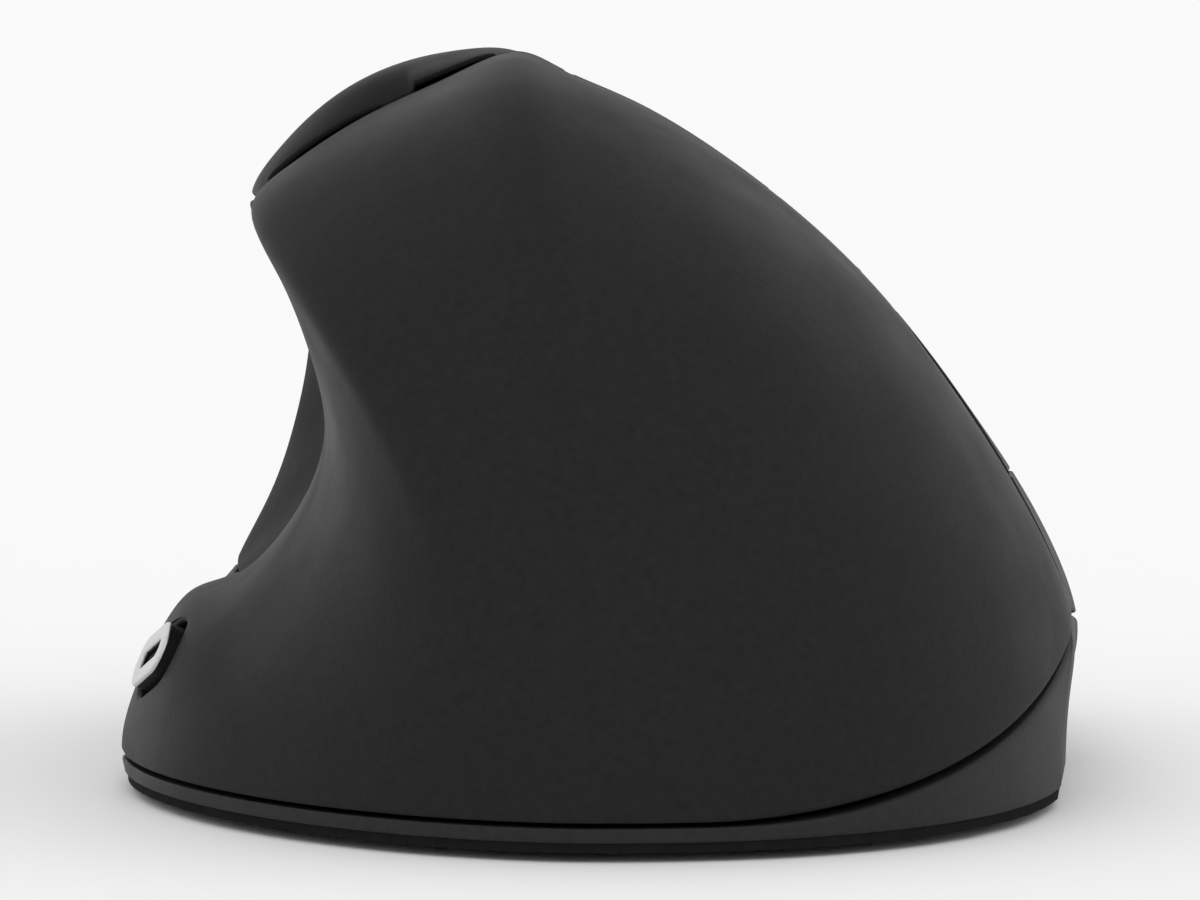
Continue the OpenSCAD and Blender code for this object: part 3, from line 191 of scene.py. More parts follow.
def nose_part(s, v, nose):
    """Rounded nose ahead of the nose section."""
    ahead, up = rounded(v - 2)
    ex, ey = nose_edge(s)
    x = ex + (nose[..., 0] - ex) * up
    return np.stack([x, NOSE_Y + (ey - NOSE_Y) * ahead, nose[..., 1] * up], -1)


def middle_part(v, a, m, b):
    """Blend of the three sections, smooth at the middle one and flat along y at both ends."""
    y = REAR_Y + SPAN_Y * (np.clip(v, 1, 2) - 1)
    slope = (b - a) / SPAN_Y
    t1 = np.clip((y - REAR_Y) / (MIDDLE_Y - REAR_Y), 0, 1)[..., None]
    t2 = np.clip((y - MIDDLE_Y) / (NOSE_Y - MIDDLE_Y), 0, 1)[..., None]
    q1 = (a * (1 + 2 * t1) * (1 - t1) ** 2 + m * t1 ** 2 * (3 - 2 * t1)
          + slope * (MIDDLE_Y - REAR_Y) * t1 ** 2 * (t1 - 1))
    q2 = (m * (1 + 2 * t2) * (1 - t2) ** 2 + slope * (NOSE_Y - MIDDLE_Y) * t2 * (1 - t2) ** 2
          + b * t2 ** 2 * (3 - 2 * t2))
    q = np.where((y < MIDDLE_Y)[..., None], q1, q2)
    return np.stack([q[..., 0], y, q[..., 1]], -1)


def body(s, v):
    """Point of the outer surface at the place (s, v)."""
    s, v = np.broadcast_arrays(np.asarray(s, float), np.asarray(v, float))
    a, m, b = on_net(REAR_NET, s), on_net(MIDDLE_NET, s), on_net(NOSE_NET, s)
    ahead = np.where((v <= 2)[..., None], middle_part(v, a, m, b), nose_part(s, v, b))
    out = np.where((v < 1)[..., None], heel_part(s, v, a), ahead)
    d = on_net(REAR_NET, s + SECTION_STEP) - on_net(REAR_NET, s - SECTION_STEP)
    d = d * (cap_lift(s, v) / np.linalg.norm(d, axis=-1))[..., None]
    out = out + np.stack([-d[..., 1], 0 * s, d[..., 0]], -1)
    return np.stack([(out[..., 0] - DRAWN_MID_X) * BODY_W / DRAWN_W, out[..., 1] * BODY_L / DRAWN_L,
                     BASE_Z + out[..., 2] * BODY_H / DRAWN_H], -1)


def normal(s, v):
    """Direction out of the body at the place (s, v)."""
    h = NORMAL_STEP
    s, v = np.broadcast_arrays(np.asarray(s, float), np.asarray(v, float))
    a = body(np.minimum(LAST, s + h), v) - body(np.maximum(0, s - h), v)
    b = body(s, np.minimum(3 - h, v + h)) - body(s, np.maximum(h, v - h))
    n = np.cross(a, b)
    return n / np.linalg.norm(n, axis=-1, keepdims=True)


def height_share(net, s, h):
    """Share of the profile at which a section that shrinks to the foot has the height h."""
    top = np.maximum(TINY, on_net(net, s)[..., 1])
    return np.minimum(1, h * DRAWN_H / BODY_H / top) ** (PROFILE / 2)


def heel_v(s, h):
    """Place v of the height h on the heel."""
    return np.degrees(np.arcsin(height_share(REAR_NET, s, h))) / 90


def nose_v(s, h):
    """Place v of the height h on the nose."""
    return 2 + np.degrees(np.arccos(height_share(NOSE_NET, s, h))) / 90


def seam_h(s, edge, net):
    """Height of the seam over the base, which rises to the lip at the finger side."""
    end = edge(LIP)[0]
    t = np.clip((edge(s)[0] - LIP_X) / (end - LIP_X), 0, 1)
    lip = on_net(net, LIP)[1] * BODY_H / DRAWN_H
    return BAND_H + (lip - BAND_H) * (1 - np.sqrt(1 - t * t))


def heel_seam(s, shift):
    return heel_v(s, seam_h(s, heel_edge, REAR_NET) + shift)


def nose_seam(s, shift):
    return nose_v(s, seam_h(s, nose_edge, NOSE_NET) + shift)


def palm_front(s):
    """Place v of the palm shell's front edge."""
    return 1 + (NOSE_END - 1) * (1 - rise(s, LEDGE, SWEEP))


def mm_s(s, v):
    """Change of s over one millimetre of the surface."""
    h = MEASURE_STEP
    return 2 * h / np.linalg.norm(body(s + h, v) - body(s - h, v), axis=-1)


def mm_v(s, v):
    """Change of v over one millimetre of the surface."""
    h = MEASURE_STEP
    return 2 * h / np.linalg.norm(body(s, v + h) - body(s, v - h), axis=-1)


# Place v at which a gap across s is measured, and the gap across v
GAP_AT_V = 1.4
GAP_V = PANEL_GAP / SPAN_Y


def gap_s(s, v=GAP_AT_V):
    """Half a panel gap as a change of s."""
    return PANEL_GAP / 2 * mm_s(s, v)


def v_at(y):
    """Place v between the rear and the nose section of a distance y along the body."""
    return 1 + (y * DRAWN_L / BODY_L - REAR_Y) / SPAN_Y


# Mesh tools. A grid has fine steps at its edges, counted in a fine width. FINE_S and FINE_V are the usual
# fine widths across and along the body, as shares of the grid.
EDGE_STEPS = np.array([0, 0.06, 0.15, 0.28, 0.44, 0.64, 0.9, 1.3, 2.0])
FINE_S, FINE_V = 0.02, 0.012
PLACE_DIGITS = 5
SHARP_ANGLE = math.radians(40)
CHUNK = 2000
LEAST_WALL = 0.05


def clustered(n, fine):
    """Fractions from 0 to 1, close together at both ends so that rolled edges come out round."""
    near = fine * EDGE_STEPS
    return np.concatenate([near, np.linspace(near[-1], 1 - near[-1], n)[1:-1], (1 - near)[::-1]])


def spread(a, b, n, fine):
    return a + (b - a) * clustered(n, fine)


def distinct(*parts):
    """Rising places from several rows, each place once."""
    return np.unique(np.round(np.concatenate(parts), PLACE_DIGITS))


def stretches(parts):
    """Rising places along stretches that each have a start, an end and a count."""
    return distinct(*[np.linspace(*part) for part in parts])


def shade(mesh):
    """Smooth shading with sharp edges kept."""
    mesh.polygons.foreach_set("use_smooth", [True] * len(mesh.polygons))
    mesh.set_sharp_from_angle(angle=SHARP_ANGLE)


def new_object(name, verts, faces):
    """Object from points in millimetres."""
    mesh = bpy.data.meshes.new(name)
    mesh.from_pydata((np.asarray(verts, float) * MM).tolist(), [], faces)
    mesh.validate()
    shade(mesh)
    ob = bpy.data.objects.new(name, mesh)
    scene.collection.objects.link(ob)
    return ob


def border_distance(p, segments):
    """Distance of each point to the nearest of the border's segments."""
    a, b = segments[:, 0], segments[:, 1]
    d = b - a
    dd = np.maximum(TINY ** 2, (d * d).sum(-1))
    out = np.empty(len(p))
    for k in range(0, len(p), CHUNK):
        q = p[k:k + CHUNK, None]
        f = np.clip(((q - a) * d).sum(-1) / dd, 0, 1)
        out[k:k + CHUNK] = np.sqrt((((q - a) - f[..., None] * d) ** 2).sum(-1).min(1))
    return out


def panel_mesh(name, p, n, roll, wall=WALL, lift=0.0, ring=False):
    """A closed shell with rolled edges on a grid of points p with normals n.

    roll, wall and lift are numbers or grids. A ring's last column is joined to its first.
    """
    cols, rows = p.shape[:2]
    count = cols * rows
    idx = np.arange(count).reshape(cols, rows)
    nxt = np.roll(idx, -1, 0) if ring else idx[1:]
    now = idx if ring else idx[:-1]
    quads = np.stack([now[:, :-1], nxt[:, :-1], nxt[:, 1:], now[:, 1:]], -1).reshape(-1, 4)
    pairs = np.concatenate([quads[:, [k, (k + 1) % 4]] for k in range(4)])
    key = pairs.min(1) * count + pairs.max(1)
    _, first, uses = np.unique(key, return_index=True, return_counts=True)
    border = pairs[first[uses == 1]]
    flat, out = p.reshape(-1, 3), n.reshape(-1, 3)
    roll, wall, lift = [np.broadcast_to(np.asarray(q, float), (cols, rows)).reshape(-1)
                        for q in (roll, wall, lift)]
    near = border_distance(flat, flat[border])
    drop = roll - np.sqrt(np.maximum(0, roll ** 2 - np.maximum(0, roll - near) ** 2))
    outer = flat + out * (lift - drop)[:, None]
    inner = flat + out * (lift - np.maximum(wall, drop + LEAST_WALL))[:, None]
    rim = np.stack([border[:, 1], border[:, 0], border[:, 0] + count, border[:, 1] + count], -1)
    faces = np.concatenate([quads, quads[:, ::-1] + count, rim])
    return new_object(name, np.concatenate([outer, inner]), faces.tolist())


def skin(name, places, roll, **more):
    """A shell on the body's surface over a grid of places."""
    s, v = places
    return panel_mesh(name, body(s, v), normal(s, v), roll, **more)


def grid(columns, fractions, low, high):
    """Places in columns of s, with rows at fractions of the way from low(s) to high(s)."""
    s = np.repeat(np.asarray(columns, float)[:, None], len(fractions), 1)
    lo, hi = low(s), high(s)
    return s, lo + (hi - lo) * np.asarray(fractions)[None, :]


def panel(s0, s1, columns, rows, fine_s=FINE_S):
    """Places of a panel between two seams, from the palm's edge to the nose panel or the base."""
    s = spread(s0 + gap_s(s0), s1 - gap_s(s1), columns, fine_s)
    return grid(s, clustered(rows, FINE_V), lambda q: 1 + GAP_V + 0 * q,
                lambda q: np.minimum(NOSE_END, nose_seam(q, PANEL_GAP / 2)))


def strips(loops, closed):
    """Faces between neighbouring loops of points; closed joins the last loop to the first."""
    m, count = len(loops[0]), len(loops)
    faces = []
    for i in range(count if closed else count - 1):
        low, high = i * m, (i + 1) % count * m
        for j in range(m):
            k = (j + 1) % m
            faces.append((low + j, low + k, high + k, high + j))
    return faces


def capped_loops(name, loops):
    """Joins loops of points into one skin, closed at its first and last loop."""
    m, count = len(loops[0]), len(loops)
    caps = [tuple(range(m))[::-1], tuple(range((count - 1) * m, count * m))]
    return new_object(name, np.concatenate(loops), strips(loops, False) + caps)


def closed_loops(name, loops):
    """Joins loops of points into one skin, the last one to the first."""
    return new_object(name, np.concatenate(loops), [f[::-1] for f in strips(loops, True)])


def cut(ob, tool):
    """Takes the tool's volume out of a piece."""
    mod = ob.modifiers.new("cut", "BOOLEAN")
    mod.object = tool
    mod.operation = "DIFFERENCE"
    mod.solver = "EXACT"
    ob_cut = ob.evaluated_get(bpy.context.evaluated_depsgraph_get())
    mesh = bpy.data.meshes.new_from_object(ob_cut)
    ob.modifiers.clear()
    ob.data = mesh
    shade(mesh)
    bpy.data.objects.remove(tool)


made = {}


def keep_piece(ob, node, body_name, slot):
    """Keeps a piece in the solids' box and lets it stand for a node."""
    co = np.empty(3 * len(ob.data.vertices))
    ob.data.vertices.foreach_get("co", co)
    ob.data.vertices.foreach_set("co", np.clip(co.reshape(-1, 3), cad_box[0], cad_box[1]).ravel())
    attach(ob, body_name)
    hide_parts(node)
    made.setdefault(node, []).append((ob, slot))


# Wheel and bezel; WHEEL_I is the wheel's place s, and the bezel reaches from BEZEL to RIGHT
WHEEL_I, WHEEL_Y, WHEEL_D, WHEEL_W, WHEEL_PROUD = 16.79, 22.0, 22.0, 7.0, 3.0
TYRE_T, WHEEL_SLOT, BEZEL_EDGE = 2.4, 1.2, 2.1
BEZEL_HALF = (WHEEL_W / 2 + WHEEL_SLOT + BEZEL_EDGE) * mm_s(WHEEL_I, v_at(WHEEL_Y))
BEZEL, RIGHT = WHEEL_I - BEZEL_HALF, WHEEL_I + BEZEL_HALF
# Speed key: its place, its turn on the ledge and its sizes
SPEED_I, SPEED_V, RING_TURN = 2.4, 0.69, math.radians(27)
RING_L, RING_W, RING_BAND, RING_PROUD, RING_GAP = 9.0, 4.8, 1.6, 0.7, 0.6


# Local frames of the part's source, as three axes and an origin
def finger_frame():
    """x along the section and z out of the finger side, at the wheel."""
    a, b = body(RIDGE, MIDDLE_V), body(REST, MIDDLE_V)
    tilt = math.atan2(a[2] - b[2], b[0] - a[0])
    seat = body(WHEEL_I, v_at(WHEEL_Y))
    axes = [[math.cos(tilt), 0, -math.sin(tilt)], [0, 1, 0], [math.sin(tilt), 0, math.cos(tilt)]]
    return np.array(axes), np.array([seat[0], 0, seat[2]])


def speed_frame():
    """x along the section and z out of the ledge, at the speed key."""
    out = normal(SPEED_I, SPEED_V)
    along = np.array([out[2], 0, -out[0]]) / math.hypot(out[0], out[2])
    return np.array([along, np.cross(out, along), out]), body(SPEED_I, SPEED_V)


FINGERS, SPEED = finger_frame(), speed_frame()
# Most that a search moves at once in s and v, and its margins to the ends of the surface
MOST_S, MOST_V, MARGIN, V_END = 0.4, 0.1, 0.05, 2.9


def outward(local, pts):
    """Points of a local frame in the body's frame."""
    axes, origin = local
    return np.asarray(pts, float) @ axes + origin


def depth_under(local, x, y, s, v):
    """Local height of the body's surface over the local points (x, y), starting from the place (s, v)."""
    axes, origin = local
    h = MEASURE_STEP

    def at(s, v):
        return (body(s, v) - origin) @ axes.T

    s, v = np.full(x.shape, float(s)), np.full(x.shape, float(v))
    for _ in range(PASSES):
        q = at(s, v)
        a, b = (at(s + h, v) - q) / h, (at(s, v + h) - q) / h
        det = a[..., 0] * b[..., 1] - a[..., 1] * b[..., 0]
        ex, ey = x - q[..., 0], y - q[..., 1]
        step_s, step_v = (ex * b[..., 1] - ey * b[..., 0]) / det, (a[..., 0] * ey - a[..., 1] * ex) / det
        s = np.clip(s + np.clip(step_s, -MOST_S, MOST_S), MARGIN, LAST - MARGIN)
        v = np.clip(v + np.clip(step_v, -MOST_V, MOST_V), MARGIN, V_END)
    return at(s, v)[..., 2]


# Outlines and cutters. A cutter starts RIM_ABOVE over the surface; its rim is rolled at RIM_STEPS of the roll.
END_POINTS = 40
RIM_ABOVE, RIM_STEPS = 3.0, (0.0, 0.1, 0.25, 0.45, 0.7, 1.0)
HOLE_ROLL, HOLE_RIM_END, HOLE_DEPTH = 0.5, 1.6, 6
ARC = np.radians(np.linspace(0, 90, 7))


def stadium(length, width, turned=0.0):
    """Points round an outline with round ends, length along y, as centres and directions."""
    a = np.linspace(0, math.pi, END_POINTS)
    turn = np.concatenate([a, a + math.pi])
    mid = np.where(np.arange(2 * END_POINTS) < END_POINTS, 1, -1) * (length - width) / 2
    c, d = math.cos(turned), math.sin(turned)
    spin = np.array([[c, d], [-d, c]])
    return np.stack([0 * mid, mid], -1) @ spin, np.stack([np.cos(turn), np.sin(turn)], -1) @ spin


def quarter(r, z, radius, side=1):
    """Profile of a rounded edge at a ring's outer corner (r, z), or at its inner corner for side -1."""
    return [(r - side * radius * (1 - math.cos(a)), z - radius * (1 - math.sin(a))) for a in ARC]


def rolled_rim(roll, end):
    """Offsets and depths of a cutter's loops, down to the depth of end rolls."""
    pairs = [(roll, -RIM_ABOVE)]
    for d in RIM_STEPS + (end,):
        left = 1 - min(1, d)
        pairs.append((roll * (1 - math.sqrt(1 - left ** 2)), d * roll))
    return pairs


def hole_tool(name, local, length, width, y, s, v, turned=0.0):
    """Cutter for a hole with a rolled rim that follows the body's surface."""
    mid, way = stadium(length, width, turned)
    loops = []
    for offset, depth in rolled_rim(HOLE_ROLL, HOLE_RIM_END):
        xy = mid + way * (width / 2 + offset) + np.array([0, y])
        loops.append(np.column_stack([xy, depth_under(local, xy[:, 0], xy[:, 1], s, v) - depth]))
    low = loops[-1].copy()
    low[:, 2] = low[:, 2].min() - HOLE_DEPTH
    loops.append(low)
    return capped_loops(name, [outward(local, q) for q in loops][::-1])


# Palm shell with the hole of the speed key. Its edge is sharper under the cap and over the base band, and
# dips beside the finger side; the ranges are in s and v, each with the width of its fade.
PALM_ROWS, SWEEP_COLUMNS = 110, 40
PALM_LEFT = np.concatenate([[0, 0.006, 0.014, 0.025, 0.04, 0.06, 0.09], np.linspace(0.13, 1, 30)])
PALM_STRETCHES = ((LEDGE, SWEEP_END, SWEEP_COLUMNS), (4.24, 15, 100), (15.1, 19.5, 56),
                  (19.53, 19.92, 14))
PALM_ROLL, PALM_SHARPER = 0.55, 0.33
BY_CAP_S, BY_CAP_END, BY_CAP_FADE, BY_CAP_V, BY_CAP_V_FADE = 8.6, 12.9, 0.5, 0.5, 0.2
BY_BAND_V, BY_BAND_FADE = 0.4, 0.2
STRIP_S, STRIP_FADE, STRIP_REACH, STRIP_END, STRIP_DIP = 17.2, 1.2, 0.06, 1.01, 0.5
WEDGE_S, WEDGE_FADE = 15.5, 2
# Half gaps in s that an edge keeps from the sweeping seam, over 1 because the seam runs at a slant
SLANT = 1.4


def wedge(s):
    """0 where the base is a thin band, 1 where it rises to the lip."""
    return rise(s, WEDGE_S, WEDGE_FADE)


def make_palm_shell():
    columns = distinct(LEFT_SEAM + (LEDGE - LEFT_SEAM) * PALM_LEFT, stretches(PALM_STRETCHES))
    s, v = grid(columns, clustered(PALM_ROWS, FINE_V), lambda q: heel_seam(q, PANEL_GAP / 2),
                lambda q: np.minimum(palm_front(q + SLANT * gap_s(q)), nose_seam(q, PANEL_GAP / 2)))
    by_cap = rise(s, BY_CAP_S, BY_CAP_FADE) * (1 - rise(s, BY_CAP_END, BY_CAP_FADE))
    by_cap = by_cap * rise(v, BY_CAP_V, BY_CAP_V_FADE)
    by_band = (1 - wedge(s)) * (1 - rise(v, BY_BAND_V, BY_BAND_FADE))
    by_strip = rise(s, STRIP_S, STRIP_FADE) * np.exp(-((1 - v) / STRIP_REACH) ** 2) * (v < STRIP_END)
    roll = PALM_ROLL - PALM_SHARPER * np.maximum(by_cap, by_band)
    palm = skin("palm_shell_skin", (s, v), roll, lift=-STRIP_DIP * by_strip)
    cut(palm, hole_tool("speed_hole", SPEED, RING_L + 2 * RING_GAP, RING_W + 2 * RING_GAP, 0,
                        SPEED_I, SPEED_V, RING_TURN))
    keep_piece(palm, "palm_shell", "case", "soft_black")


# Inner lips, which close the seams from behind
SEAM_LIP_HALF, SEAM_LIP_WALL, SEAM_LIP_ROWS, SEAM_LIP_ROLL = 1.8, 0.6, 9, 0.1
PALM_LIP_UNDER, BUTTON_LIP_UNDER = 0.3, 1.1
SWEEP_START = LEDGE + 0.2
SWEEP_LIP_POINTS, REAR_LIP_POINTS, SIDE_LIP_POINTS = 60, 180, 90
SIDE_LIP_START, SIDE_LIP_END = 1.05, NOSE_END - 0.03


def seam_lip(name, s, v, under, node):
    """Strip behind the seam that runs along the places (s, v), at a distance under the panels."""
    seam, out = body(s, v), normal(s, v)
    across = np.cross(out, np.gradient(seam, axis=0))
    across /= np.linalg.norm(across, axis=-1, keepdims=True)
    shift = np.linspace(-SEAM_LIP_HALF, SEAM_LIP_HALF, SEAM_LIP_ROWS)[None, :, None]
    p = seam[:, None] + across[:, None] * shift - out[:, None] * (WALL + under)
    n = np.repeat(out[:, None], SEAM_LIP_ROWS, 1)
    keep_piece(panel_mesh(name, p, n, SEAM_LIP_ROLL, wall=SEAM_LIP_WALL), node, "case", "insert_black")


def make_seam_lips():
    """The lips along the finger side lie deeper and leave room for the buttons' travel."""
    s = np.concatenate([np.linspace(SWEEP_START, SWEEP_END, SWEEP_LIP_POINTS),
                        np.linspace(SWEEP_END, LIP, REAR_LIP_POINTS)[1:]])
    seam_lip("palm_shell_lip", s, palm_front(s), PALM_LIP_UNDER, "palm_shell")
    v = np.linspace(SIDE_LIP_START, SIDE_LIP_END, SIDE_LIP_POINTS)
    for name, seam, node in (
            ("top_cap_lip", RIDGE, "top_cap"), ("wheel_bezel_left_lip", BEZEL, "wheel_bezel"),
            ("wheel_bezel_right_lip", RIGHT, "wheel_bezel"), ("finger_rest_lip", REST, "finger_rest")):
        seam_lip(name, seam, v, BUTTON_LIP_UNDER, node)


# Thumb panel in the scoop
THUMB_COLUMNS, THUMB_ROWS, THUMB_ROLL = 60, 70, 0.5


def make_thumb_panel():
    columns = distinct(np.linspace(SWEEP_START, SWEEP_END, SWEEP_COLUMNS),
                       spread(SWEEP_END, CORNER - gap_s(CORNER), THUMB_COLUMNS, FINE_S))
    places = grid(columns, clustered(THUMB_ROWS, FINE_V), lambda q: palm_front(q - SLANT * gap_s(q)) + GAP_V,
                  lambda q: NOSE_END + 0 * q)
    keep_piece(skin("thumb_panel_skin", places, THUMB_ROLL), "thumb_panel", "case", "thumb_rubber")


# Top cap with the windows of the thumb keys; its thin rear edge lifts off the palm shell in two long slits.
# A slit has a start and a length in s, and a height in mm.
CAP_COLUMNS, CAP_ROWS = 110, 130
CAP_EDGE_T, CAP_EDGE_SPARE, CAP_EDGE_FADE, CAP_EDGE_LEN = 0.3, 0.06, 2.5, 4
FIRST_START, FIRST_LEN, FIRST_H = 9.55, 1.7, 0.55
SECOND_START, SECOND_LEN, SECOND_H = 11.66, 1.05, 0.82
SECOND_FOOT, SECOND_FADE = 11.6, 0.05
SLIT_ROUND, SLIT_SINK = 0.4, 0.32
# Thumb keys: range in s, ranges in v, clearance in half gaps, height over the cap and corner radius
KEY_S, BACK_V, FORWARD_V = (9.75, 11.35), (1.44, 1.7), (1.735, 1.99)
KEY_CLEAR, KEY_PROUD, KEY_ROUND = 1.8, 0.2, 1.2
KEY_COLUMNS, KEY_ROWS, KEY_FINE, KEY_ROLL, KEY_ROUND_LESS = 40, 50, 0.05, 0.3, 0.3
WINDOW_POINTS, WINDOW_ROLL, WINDOW_RIM_END = 48, 0.35, 12.0


def slit(s):
    """Height of the cap's rear edge over the palm shell's edge: sunk, but for two slits."""
    first = FIRST_H * np.sin(np.pi * np.clip((s - FIRST_START) / FIRST_LEN, 0, 1)) ** SLIT_ROUND
    second = SECOND_H * np.clip(1 - (s - SECOND_START) / SECOND_LEN, 0, 1) ** SLIT_ROUND
    second = second * rise(s, SECOND_FOOT, SECOND_FADE)
    return np.maximum(first, second) - SLIT_SINK


def window_tool(name, span):
    """Cutter for a key's window: a rectangle with round corners on the body, with a rolled rim."""
    s, v = sum(KEY_S) / 2, sum(span) / 2
    per_s, per_v = mm_s(s, v), mm_v(s, v)
    turn = np.linspace(0, 2 * math.pi, WINDOW_POINTS, endpoint=False) + math.pi / WINDOW_POINTS
    way = np.stack([np.cos(turn), np.sin(turn)], -1)
    corner = np.array([(KEY_S[1] - KEY_S[0]) / 2 / per_s, (span[1] - span[0]) / 2 / per_v]) - KEY_ROUND
    loops = []
    for offset, depth in rolled_rim(WINDOW_ROLL, WINDOW_RIM_END):
        xy = np.sign(way) * corner + way * (KEY_ROUND + offset)
        at_s, at_v = s + xy[:, 0] * per_s, v + xy[:, 1] * per_v
        loops.append(body(at_s, at_v) - normal(at_s, at_v) * depth)
    return capped_loops(name, loops[::-1])


def make_top_cap():
    s, v = panel(CORNER, RIDGE, CAP_COLUMNS, CAP_ROWS)
    from_edge = np.clip((v - v[:, :1]) * SPAN_Y, 0, None)
    gone = cap_lift(s[:, :1], v[:, :1])
    lift = (slit(s) + CAP_EDGE_T - gone) * np.exp(-(from_edge / CAP_EDGE_FADE) ** 2)
    wall = CAP_EDGE_T + CAP_EDGE_SPARE + (WALL - CAP_EDGE_T) * ease(from_edge / CAP_EDGE_LEN)
    cap = skin("top_cap_skin", (s, v), CAP_EDGE_T, lift=lift, wall=wall)
    cut(cap, window_tool("back_window", BACK_V))
    cut(cap, window_tool("forward_window", FORWARD_V))
    keep_piece(cap, "top_cap", "case", "cap_black")


def thumb_key(name, span):
    """A key with round corners that fills its window up to the gap."""
    v_mid = (BACK_V[1] + FORWARD_V[0]) / 2
    a, b = KEY_S[0] + KEY_CLEAR * gap_s(KEY_S[0], v_mid), KEY_S[1] - KEY_CLEAR * gap_s(KEY_S[1], v_mid)
    s, v = (a + b) / 2, sum(span) / 2
    per_s, per_v = mm_s(s, v), mm_v(s, v)
    radius = KEY_ROUND - KEY_ROUND_LESS

    def short(q):
        d = np.clip(radius - np.minimum(q - a, b - q) / per_s, 0, radius)
        return (radius - np.sqrt(radius ** 2 - d ** 2)) * per_v

    places = grid(spread(a, b, KEY_COLUMNS, KEY_FINE), clustered(KEY_ROWS, FINE_S),
                  lambda q: span[0] + GAP_V + short(q), lambda q: span[1] - GAP_V - short(q))
    return skin(name, places, KEY_ROLL, lift=KEY_PROUD)


def make_thumb_keys():
    keep_piece(thumb_key("back_key_skin", BACK_V), "back_key", "back_key_body", "key_black")
    keep_piece(thumb_key("forward_key_skin", FORWARD_V), "forward_key", "forward_key_body", "key_black")


# Finger side: two buttons, the bezel with the wheel's hole, the rest and the nose panel
BUTTON_COLUMNS, BUTTON_ROWS, FRONT_GAP, SIDE_FLARE, LEFT_ROLL, RIGHT_ROLL = 50, 80, 1.0, 0.5, 0.5, 0.3
BEZEL_COLUMNS, BEZEL_FINE, BEZEL_ROLL = 30, 0.04, 0.3
WHEEL_HOLE_MORE, WHEEL_HOLE_AHEAD = 3, 0.8
REST_COLUMNS, REST_ROLL, REST_CLOSE = 40, 0.18, 0.22
NOSE_S, NOSE_COLUMNS, NOSE_FINE, NOSE_ROWS, NOSE_ROLL = (1.3, 19.45), 170, 0.004, 24, 0.4


def button_places(s0, s1):
    """Places of a button between two seams; its upper side draws in towards the nose."""
    columns, rows = [], []
    for k in clustered(BUTTON_COLUMNS, FINE_S):
        end = NOSE_END - (FRONT_GAP - PANEL_GAP / 2) * mm_v(s0 + (s1 - s0) * k, NOSE_END)
        v = 1 + GAP_V + (end - 1 - GAP_V) * clustered(BUTTON_ROWS, FINE_V)
        flare = SIDE_FLARE * rise(v, 1, NOSE_END - 1)
        m = mm_s(s0, v)
        columns.append(s0 + (PANEL_GAP / 2 + flare) * m + (s1 - s0 - (PANEL_GAP + flare) * m) * k)
        rows.append(v)
    return np.array(columns), np.array(rows)


def make_finger_side():
    left = skin("left_button_skin", button_places(RIDGE, BEZEL), LEFT_ROLL)
    keep_piece(left, "left_button", "left_key_body", "button_black")
    right = skin("right_button_skin", button_places(RIGHT, REST), RIGHT_ROLL)
    keep_piece(right, "right_button", "right_key_body", "button_black")
    bezel = skin("wheel_bezel_skin", panel(BEZEL, RIGHT, BEZEL_COLUMNS, BUTTON_ROWS, BEZEL_FINE), BEZEL_ROLL)
    cut(bezel, hole_tool("wheel_hole", FINGERS, WHEEL_D + WHEEL_HOLE_MORE, WHEEL_W + 2 * WHEEL_SLOT,
                         WHEEL_Y + WHEEL_HOLE_AHEAD, WHEEL_I, v_at(WHEEL_Y)))
    keep_piece(bezel, "wheel_bezel", "case", "gloss_black")
    rest_top = REST - REST_CLOSE * mm_s(REST, MIDDLE_V)
    rest = skin("finger_rest_skin", panel(rest_top, LIP, REST_COLUMNS, BUTTON_ROWS), REST_ROLL)
    keep_piece(rest, "finger_rest", "case", "button_black")
    places = grid(spread(*NOSE_S, NOSE_COLUMNS, NOSE_FINE), clustered(NOSE_ROWS, FINE_S),
                  lambda q: NOSE_END + GAP_V + 0 * q, lambda q: nose_seam(q, PANEL_GAP / 2))
    keep_piece(skin("nose_panel_skin", places, NOSE_ROLL), "nose_panel", "case", "soft_black")


# Base frame: a ring round the foot of the shells, rising to the lip at the right
BASE_LEFT_S, BASE_RIGHT_S = 0.19, 21.78
BASE_ROWS, BASE_FINE, BASE_SIDE_COLUMNS = 14, 0.05, 42
BASE_STRETCHES = ((LEFT_SEAM, 1.5, 12), (1.6, 19, 120), (19.1, LIP, 16))
# Groove over the base in panel gaps, and how much wider it is at the wedge
GROOVE, GROOVE_MORE = 0.5, 0.6
# Share of the height that stands upright over the plate, and the power by which the plate's level fades
UPRIGHT, LEVEL_FADE = 0.33, 4
BASE_ROLL, BASE_ROLL_MORE = 0.18, 0.32


def column_set(fractions, s_low, v_low, s_high, v_high):
    """Columns of places from a low row to a high row."""
    shape = np.broadcast(s_low, v_low).shape
    lo_s, lo_v, hi_s, hi_v = [np.broadcast_to(np.asarray(q, float), shape)[:, None]
                              for q in (s_low, v_low, s_high, v_high)]
    return lo_s + (hi_s - lo_s) * fractions, lo_v + (hi_v - lo_v) * fractions


